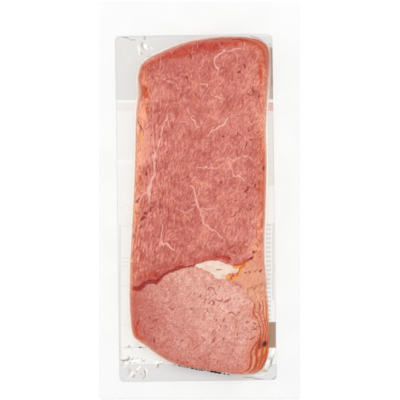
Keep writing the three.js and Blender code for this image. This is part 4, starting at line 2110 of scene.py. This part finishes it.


# Columns: height, half width, painted highlight on the crest, painted shade on the flank, a bar,
# and points.
CREASES = creases("""
0.2 0.5 0 0.85 | -58.3 111.4, -57 113, -55.2 114.2
0.2 0.5 0 0.6 | -55.2 114.2, -53 113.9, -51 113.5
0.3 0.7 0 0.85 | -51.4 113.7, -50.4 113.4
0.2 0.4 0 0.7 | -50.6 113.4, -48 112.3, -45.6 112, -44 111.2
0.3 0.6 0.8 0 | -57.6 110.8, -56.6 112.2, -55.4 113
0.3 0.7 0.7 0 | -51.4 114.8, -49.8 114.4
0.2 0.4 0 0.65 | -39 115, -38.8 113.6, -38.7 112
0.3 0.4 0 0.7 | -40.5 110.6, -40.3 108, -39.8 106.4, -39.2 104.4
0.2 0.3 0 0.6 | -40.6 110, -39 109.8
0.9 1.3 1 0 | -38.8 108.8, -37.6 106.8, -36.8 105.2
0.3 0.5 0 0.5 | -41.4 104, -40.3 102
0.3 0.6 0.6 0 | -42.6 109, -42 105, -42.4 101
0.2 0.9 0 0.16 | -50.2 104, -50 97, -50.2 90
0.4 0.7 0.9 0 | -34 107, -33.2 105.6
0.1 0.5 0.5 0 | -40 97.6, -32 101.6, -24 105.4, -12 110
0.1 0.4 0 0.45 | -37.2 100.4, -33.4 100.3
0.1 0.4 0 0.5 | -38.6 96.8, -37 97.4
0.1 0.35 0 0.5 | -46 -103.1, -40 -103.1, -34 -103
0.1 0.3 0 0.45 | -53 -103.2, -47.6 -103.1
0.2 0.9 0 0.2 | -55 -96, -55.1 -104, -55 -112
0.3 0.5 0 0.85 | -56 -112.2, -53 -112.1, -50 -112, -47 -111.6, -44.6 -111.2
0.3 0.5 0 0.6 | -44.6 -111.2, -42 -111, -39.6 -111.4
0.3 0.4 0 0.7 | -55.6 -113.8, -53.6 -114, -51.8 -114
0.3 0.6 0.9 0 | -55.8 -115, -53 -115.1, -50.4 -115
0.3 0.4 0 0.7 | -49.2 -113.8, -47 -113.9, -44.6 -113.7
0.2 0.6 0 0.8 | -42.4 -113.8, -42 -113.7
0.2 0.4 0 0.6 | -40.2 -113.1, -38.4 -112
0.3 0.8 0 0.85 | -38.4 -111.9, -38 -111.7
0.4 0.6 0.8 0 | -47.4 -112.6, -44 -112.5, -41 -113
0.2 0.35 0 0.7 | -33 -115.2, -29 -115, -25 -114.2
0.3 0.5 0.9 0 | -33 -114.2, -29 -114, -25.4 -113.2
0.3 0.4 0 0.8 | -39.2 -117.8, -38.1 -120.4, -38.2 -122.6, -39.3 -125
0.3 0.4 0.6 0 | -38.4 -117.6, -37.2 -120.4, -37.3 -122.6
0.2 0.4 0 0.7 | -41 -126.6, -40.6 -126.9
0.2 0.4 0 0.6 | -46 -127, -45 -127
0.4 0.6 0.95 0 | -41.3 -115.4, -41.6 -117, -44.4 -118.6
0.4 0.7 0.9 0 | -46 -120, -47.6 -121.6
0.4 0.6 0.9 0 | -52.6 -123.6, -51.4 -122
0.3 0.6 0.9 0 | -47.6 -126.3, -46 -126.8
0.3 0.5 0 0.6 | -48 -125, -46.4 -123.6, -44.4 -122.4
0.3 0.5 0 0.5 | -54 -121.8, -52 -121.2
0.2 1.4 0 0.32 | -45 -119.6, -42 -121, -39.6 -122.6
0.2 0.5 0 0.4 | -52 -117.4, -49.4 -118, -49 -120.4, -50.6 -122
0.1 0.8 0 0.22 | -41.5 -105.4, -41.3 -105.6
0.6 0.9 0.85 0 | 52.7 -103.4, 51.6 -106, 50.6 -108
0.4 0.9 0.8 0 | 48 -112, 47 -115, 46 -118
0.3 0.6 0 0.6 | 52 -108, 51 -112, 49.6 -116, 48 -118.6
0.2 0.9 0 0.6 | 49.8 -109.6, 50.2 -112, 49.8 -115
0.2 0.5 0 0.5 | 48.6 -110, 49.4 -112.4
0.3 0.8 0.35 0 | 36 -122.6, 42 -122.8, 47 -121.6
0.2 0.45 0 0.7 | 30 -124.2, 36 -124.3, 41 -125, 44.6 -125.4
0.2 0.5 0 0.6 | 50.4 -125.6, 53 -124.3, 54.2 -123
0.2 0.6 0 0.3 | 50 115, 51.3 113.6
0.3 0.6 0.6 0 | 48 114.4, 47.4 114.6
0.3 0.5 0.5 0 | 46 112.6, 45.4 113
0.2 0.5 0 0.3 | 47.2 112.4, 47.6 112
0.2 0.8 0 0.3 | 48 109.8, 51 107.8
0.3 0.4 0 0.6 | 35.4 115, 38 114.2, 41 113.2, 43.5 112, 44.6 111.2
0.1 0.8 0.1 0.1 | -56 -6.5, -52.5 -3.6, -48.8 -4.6
""")

# How strong the film's halo is round the stack, by station: partly its milk-white stretch, partly
# painted reflection.
HALO_ROUND = np.array([
    (0, 0.4), (1, 0.45), (2, 0.25), (2.6, 0.1), (3, 0.0), (4, 0.05), (5, 0.1), (6, 0.6), (7, 0.9),
    (8, 0.9), (9, 0.85), (10, 0.7), (11, 0.7), (12, 0.4), (13, 0.0),
    (22.6, 0.0), (23.4, 0.1), (24, 0.3), (24.6, 0.0), (25.5, 0.0), (26, 0.35), (27, 0.7),
    (29, 0.75), (33, 0.7), (33.6, 0.6), (34, 0.5), (35, 0.65),
])


@dataclass
class FrontFilm:
    """The clear film, drawn down over the stack and sealed to the back film all round."""

    stack: BeefStack
    thickness: float = 0.09
    clearance: float = 0.16
    seal_height: float = 0.41
    cell: float = 2.2
    rim_rows: tuple[float, ...] = (0.4, 0.9, 1.4)
    spine_x: float = -2.5
    spine_half: float = 60.0
    wall_drop: float = 0.15
    foot_start: float = 0.6
    foot_reach: float = 2.0
    corner_inset: float = 0.3
    # A painted halo near the crown's rim, partly milk-white stretch and partly painted reflection.
    top_painted_halo: float = 0.14
    top_painted_halo_reach: float = 1.3
    crease_passes: tuple[float, ...] = (2.6, 1.7, 0.92, 0.5)
    crease_wander: float = 0.2
    crease_reach: float = 3.0
    crease_width: float = 0.62
    crease_height: float = 0.4
    # How strong the painted highlight on crests and the painted shade on flanks are.
    crest_share: float = 0.6
    flank_share: float = 0.65

    def build(self, material: bpy.types.Material) -> bpy.types.Object:
        """Builds the film from its level top outwards, ring by ring.

        Args:
            material: The film's material.

        Returns:
            The finished film.
        """
        top = self.stack.slices[0]
        mesh = SidedPatch(top.packed, self.cell, self.rim_rows).mesh()
        layers = {name: mesh.verts.layers.float.new(name) for name in ("halo", "crest", "flank")}
        far, station = top.packed.nearest(flat_places(mesh))
        painted_halo = self.top_painted_halo * np.clip(1.0 - far / self.top_painted_halo_reach, 0.0, 1.0)
        for vert, share in zip(mesh.verts, painted_halo * round_rim(HALO_ROUND, station)):
            vert[layers["halo"]] = share
        crown = top.bottom + SLICE_THICKNESS + self.clearance
        heights_set(mesh, np.full(len(mesh.verts), crown + self.thickness))
        for places, height, halo in self.profile():
            self.widen(mesh, places, height, halo, layers["halo"])
        refine(mesh, [c.path() for c in CREASES], self.crease_passes)
        self.crease(mesh, layers)
        smoothed(mesh)
        bmesh.ops.recalc_face_normals(mesh, faces=mesh.faces)
        if sum(f.normal.z for f in mesh.faces) < 0:
            bmesh.ops.reverse_faces(mesh, faces=mesh.faces)
        piece = to_piece(mesh, "clear_front_film", material)
        wall = piece.modifiers.new("film_wall", "SOLIDIFY")
        wall.thickness = self.thickness * MM
        wall.offset = -1.0
        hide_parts("front_film")
        return piece

    def profile(self) -> list[tuple[Places, float, float]]:
        """Gives each ring's places by station, its height and its halo, which is partly the film's
        milk-white stretch and partly painted reflection.

        Returns:
            One row for each ring: a function from stations to places, a height and a halo.
        """
        lift = SLICE_THICKNESS + self.clearance + self.thickness - self.wall_drop
        # Each wall and foot ring's halo: painted reflection and the film's milk-white stretch
        # beside the stack.
        wall = ((0.02, 0.17), (0.15, 0.29), (0.29, 0.45), (0.43, 0.64), (0.57, 0.86))
        foot = (
            (0.76, 1.0, 1.0), (0.96, 0.68, 0.7), (1.2, 0.5, 0.2), (1.6, 0.43, 0.03),
            (self.foot_reach, self.seal_height, 0.0),
        )
        sealed = (
            *(self._margin(share) for share in (0.2, 0.45, 0.72, 1.0)),
            *(self._border(share) for share in (0.25, 1.0)),
        )
        return [
            *((self._beside(cut.packed, out), cut.bottom + lift, halo)
              for cut, (out, halo) in zip(self.stack.slices, wall)),
            *((self._foot(out), height, halo) for out, height, halo in foot),
            *((places, self.seal_height, 0.0) for places in sealed),
        ]

    def _beside(self, outline: Outline, out: float) -> Places:
        """Gives places a little outside an outline."""
        return lambda s: outline.at(s) + outline.outward(s) * out

    def _foot(self, out: float) -> Places:
        """Gives places at a distance from the bottom slice, nearer where room is short.

        Args:
            out: The distance.

        Returns:
            What gives the places at station numbers.
        """
        outline = self.stack.slices[-1].packed

        def places(stations: np.ndarray) -> np.ndarray:
            """Steps out from the rim, less where the window's edge is near."""
            start = outline.at(stations)
            space = (WINDOW.depth(start) - 0.5) / (self.foot_reach - self.foot_start)
            spread = self.foot_start + (out - self.foot_start) * np.clip(space, 0.1, 1.0)
            return start + outline.outward(stations) * spread[:, None]

        return places

    def _spine(self, at: np.ndarray) -> np.ndarray:
        """Gives the point of the pack's middle line that each place spreads out from."""
        return np.column_stack(
            [np.full(len(at), self.spine_x), np.clip(at[:, 1], -self.spine_half, self.spine_half)]
        )

    def _margin(self, share: float) -> Places:
        """Gives places between the film's foot and the window's edge.

        Args:
            share: The share, 0 at the foot and 1 at the window's edge.

        Returns:
            What gives the places at station numbers.
        """
        foot = self._foot(self.foot_reach)

        def places(stations: np.ndarray) -> np.ndarray:
            """Moves from the foot towards the window's edge."""
            start = foot(stations)
            end = WINDOW.reached(self._spine(start), start)
            return start + (end - start) * share

        return places

    def _border(self, share: float) -> Places:
        """Gives places between the window's edge and the pack's edge.

        Args:
            share: The share, 0 at the window's edge and 1 at the pack's edge.

        Returns:
            What gives the places at station numbers.
        """
        edge = self._margin(1.0)

        def places(stations: np.ndarray) -> np.ndarray:
            """Moves from the window's edge towards the pack's edge."""
            start = edge(stations)
            end = PACK.reached(self._spine(start), start)
            if share == 1.0:
                for corner in ((1, 1), (1, -1), (-1, 1), (-1, -1)):
                    at = (PACK_HALF - self.corner_inset) * corner
                    end[np.argmin(np.hypot(*(end - at).T))] = at
            return start + (end - start) * share

        return places

    @staticmethod
    def widen(
        mesh: bmesh.types.BMesh, places: Places, height: float, halo: float,
        layer: bmesh.types.BMLayerItem,
    ) -> None:
        """Adds one ring round the film.

        Args:
            mesh: The film.
            places: A function from stations to places.
            height: The ring's height in millimetres.
            halo: The ring's halo where it is strongest, partly milk-white stretch and partly
                painted reflection.
            layer: The layer that holds the halo.
        """
        station = mesh.verts.layers.float["station"]
        rim = [e for e in mesh.edges if e.is_boundary]
        made = bmesh.ops.extrude_edge_only(mesh, edges=rim)["geom"]
        ring = [g for g in made if isinstance(g, bmesh.types.BMVert)]
        stations = np.array([v[station] for v in ring])
        for vert, place, share in zip(ring, places(stations), round_rim(HALO_ROUND, stations)):
            vert.co = (place[0] * MM, place[1] * MM, height * MM)
            vert[layer] = halo * share

    def crease(self, mesh: bmesh.types.BMesh, layers: dict) -> None:
        """Raises the creases and stores their painted highlights on the crests and painted shade on
        the flanks.

        Args:
            mesh: The film.
            layers: The film's halo, crest and flank layers.
        """
        at = flat_places(mesh)
        heights = np.array([v.co.z for v in mesh.verts]) / MM
        crest, flank = np.zeros(len(at)), np.zeros(len(at))
        free = smooth(WINDOW.depth(at) / 0.25) * smooth((3.0 - heights) / 1.5)
        moved = wandered(at, self.crease_wander)
        for fold in CREASES:
            path = fold.path()
            close = boxed(path, moved, self.crease_reach)
            far, along = path_distance(path, moved[close])
            taper = np.clip(np.sin(np.pi * along), 0.0, 1.0) ** 0.25
            width = self.crease_width * fold.half_width
            ridge = np.exp(-((far / width) ** 2)) * taper * free[close]
            heights[close] += self.crease_height * fold.height * ridge
            crest[close] = np.maximum(crest[close], self.crest_share * fold.crest * ridge)
            flank[close] = np.maximum(flank[close], self.flank_share * fold.flank * ridge)
        heights_set(mesh, heights)
        for vert, white, dark in zip(mesh.verts, crest, flank):
            vert[layers["crest"]] = white
            vert[layers["flank"]] = dark


@dataclass
class PackFilms:
    """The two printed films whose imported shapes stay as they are."""

    def dress(self) -> None:
        """Gives the back film and the white frame their print."""
        for node, finish in (("back_film", BackFinish()), ("white_frame", PrintFinish())):
            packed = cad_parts[node]
            material = finish.material()
            for slot in packed.material_slots:
                slot.material = material
            LOG.info("%s: %s", node, material.name)


@dataclass(frozen=True)
class Specks:
    """Flattened specks of one kind that lie on the back film, under the front film's foot."""

    name: str
    height: float
    thickness: float
    finish: SpeckFinish
    table: str

    def build(self) -> bpy.types.Object:
        """Builds the specks with uneven, rounded shapes.

        Returns:
            One object that holds them all.
        """
        mesh = bmesh.new()
        uneven = Ripple(len(self.name), 1.6)
        for x, y, half_length, half_width, turn in rows_read(self.table):
            made = bmesh.ops.create_icosphere(mesh, subdivisions=3, radius=1.0)["verts"]
            flat = np.array([(v.co.x * 2 + v.co.z + x, v.co.y * 2 + y) for v in made])
            laid = Matrix.Translation(Vector((x, y, self.height)) * MM) @ Matrix.Rotation(
                math.radians(turn), 4, "Z"
            )
            for vert, swell in zip(made, 1.0 + 0.2 * uneven.at(flat)):
                side = Vector((half_length, half_width, self.thickness / 2)) * MM
                vert.co = laid @ Vector(a * b for a, b in zip(vert.co * float(swell), side))
        smoothed(mesh)
        piece = to_piece(mesh, self.name, self.finish.material())
        return piece


SPECKS: tuple[Specks, ...] = (
    Specks(
        "jelly_dab", 0.36, 0.14,
        SpeckFinish("jelly_amber", under_film(224, 180, 118), under_film(244, 212, 164), 0.2),
        """
45.6 -119.6 1.9 0.8 8
43.3 -118.2 1.1 0.7 40
""",
    ),
    Specks(
        "dark_fleck", 0.36, 0.12,
        SpeckFinish("fleck_dark", under_film(60, 50, 40), under_film(110, 90, 70), 0.4),
        "-41.5 -103.2 0.75 0.42 0",
    ),
    # Small dark beads laid along the foot of the stack's bottom edge.
    Specks(
        "juice_beads", 0.36, 0.12,
        SpeckFinish("dark_foot_bead", under_film(66, 34, 20), under_film(112, 70, 46), 0.25),
        """
-17.5 -115.15 0.8 0.46 -20
-14 -115.95 1.44 0.57 -20
-12 -116.65 0.57 0.46 0
-10.5 -116.85 0.52 0.43 0
-8.5 -117.15 0.57 0.41 -10
-5 -117.85 1.38 0.51 -10
-2.2 -118.45 1.03 0.49 -12
0 -118.95 0.57 0.46 0
1.6 -119.05 0.92 0.49 -10
3.6 -119 0.69 0.35 -14
5.9 -119.6 0.57 0.51 0
8.6 -120.1 1.49 0.68 -12
11.2 -120.6 1.61 0.7 -8
13.8 -121 1.49 0.62 -8
17.5 -121.7 0.69 0.46 0
20.2 -122.2 0.92 0.32 -8
""",
    ),
)


@dataclass
class Studio:
    """The pale floor, the soft light and the camera straight above."""

    floor_half: float = 3.0
    floor_drop: float = 0.00004
    lens: float = 250.0
    sensor: float = 36.0
    clip: tuple[float, float] = (0.05, 20.0)
    view_width: float = 0.280
    view_x: float = 0.00035
    sky: float = 0.96
    lamp_power: float = 5.0
    lamp_size: tuple[float, float] = (1.6, 1.0)
    lamp_place: tuple[float, float, float] = (-0.2, 1.1, 1.3)

    def build(self) -> None:
        """Builds the floor, the light and the camera."""
        self.floor()
        self.light()
        self.camera()

    def floor(self) -> None:
        """Lays the floor just under the pack."""
        mesh = bmesh.new()
        bmesh.ops.create_grid(mesh, x_segments=4, y_segments=4, size=self.floor_half)
        bmesh.ops.translate(mesh, verts=mesh.verts, vec=(0.0, 0.0, -self.floor_drop))
        to_object(mesh, "studio_floor", FloorFinish().material())

    def light(self) -> None:
        """Sets a white sky and one large lamp over the head of the pack."""
        scene = bpy.context.scene
        scene.view_settings.view_transform = "Standard"
        world = bpy.data.worlds.new("studio_sky")
        world.use_nodes = True
        back = next(n for n in world.node_tree.nodes if n.type == "BACKGROUND")
        back.inputs["Color"].default_value = WHITE
        back.inputs["Strength"].default_value = self.sky
        scene.world = world
        lamp = bpy.data.lights.new("head_softbox", "AREA")
        lamp.shape = "RECTANGLE"
        lamp.size, lamp.size_y = self.lamp_size
        lamp.energy = self.lamp_power
        made = bpy.data.objects.new("head_softbox", lamp)
        made.location = self.lamp_place
        made.rotation_euler = (-made.location).to_track_quat("-Z", "Y").to_euler()
        scene.collection.objects.link(made)

    def camera(self) -> None:
        """Places the camera straight above, as the photograph was taken."""
        data = bpy.data.cameras.new("photo_camera")
        data.lens, data.sensor_width = self.lens, self.sensor
        data.clip_start, data.clip_end = self.clip
        made = bpy.data.objects.new("photo_camera", data)
        made.location = (self.view_x, 0.0, self.view_width * self.lens / self.sensor)
        bpy.context.scene.collection.objects.link(made)
        bpy.context.scene.camera = made


def main() -> None:
    """Builds and dresses the pack's sub-assemblies in order."""
    logging.basicConfig(level=logging.INFO, format="%(name)s %(message)s")
    Studio().build()
    PackFilms().dress()
    stack = BeefStack()
    rosy, pale, salmon = (
        under_film(*seen) for seen in ((210, 124, 113), (228, 166, 152), (234, 165, 136))
    )
    stack.build(
        BeefFinish("beef_cut_face", rosy, pale).material(),
        BeefFinish("beef_fan_edge", salmon, salmon).material(),
    )
    film = FrontFilm(stack).build(FilmFinish().material())
    LOG.info("%s: %d faces", film.name, len(film.data.polygons))
    for kind in SPECKS:
        piece = kind.build()
        LOG.info("%s: %d faces", piece.name, len(piece.data.polygons))


if __name__ == "__main__":
    main()
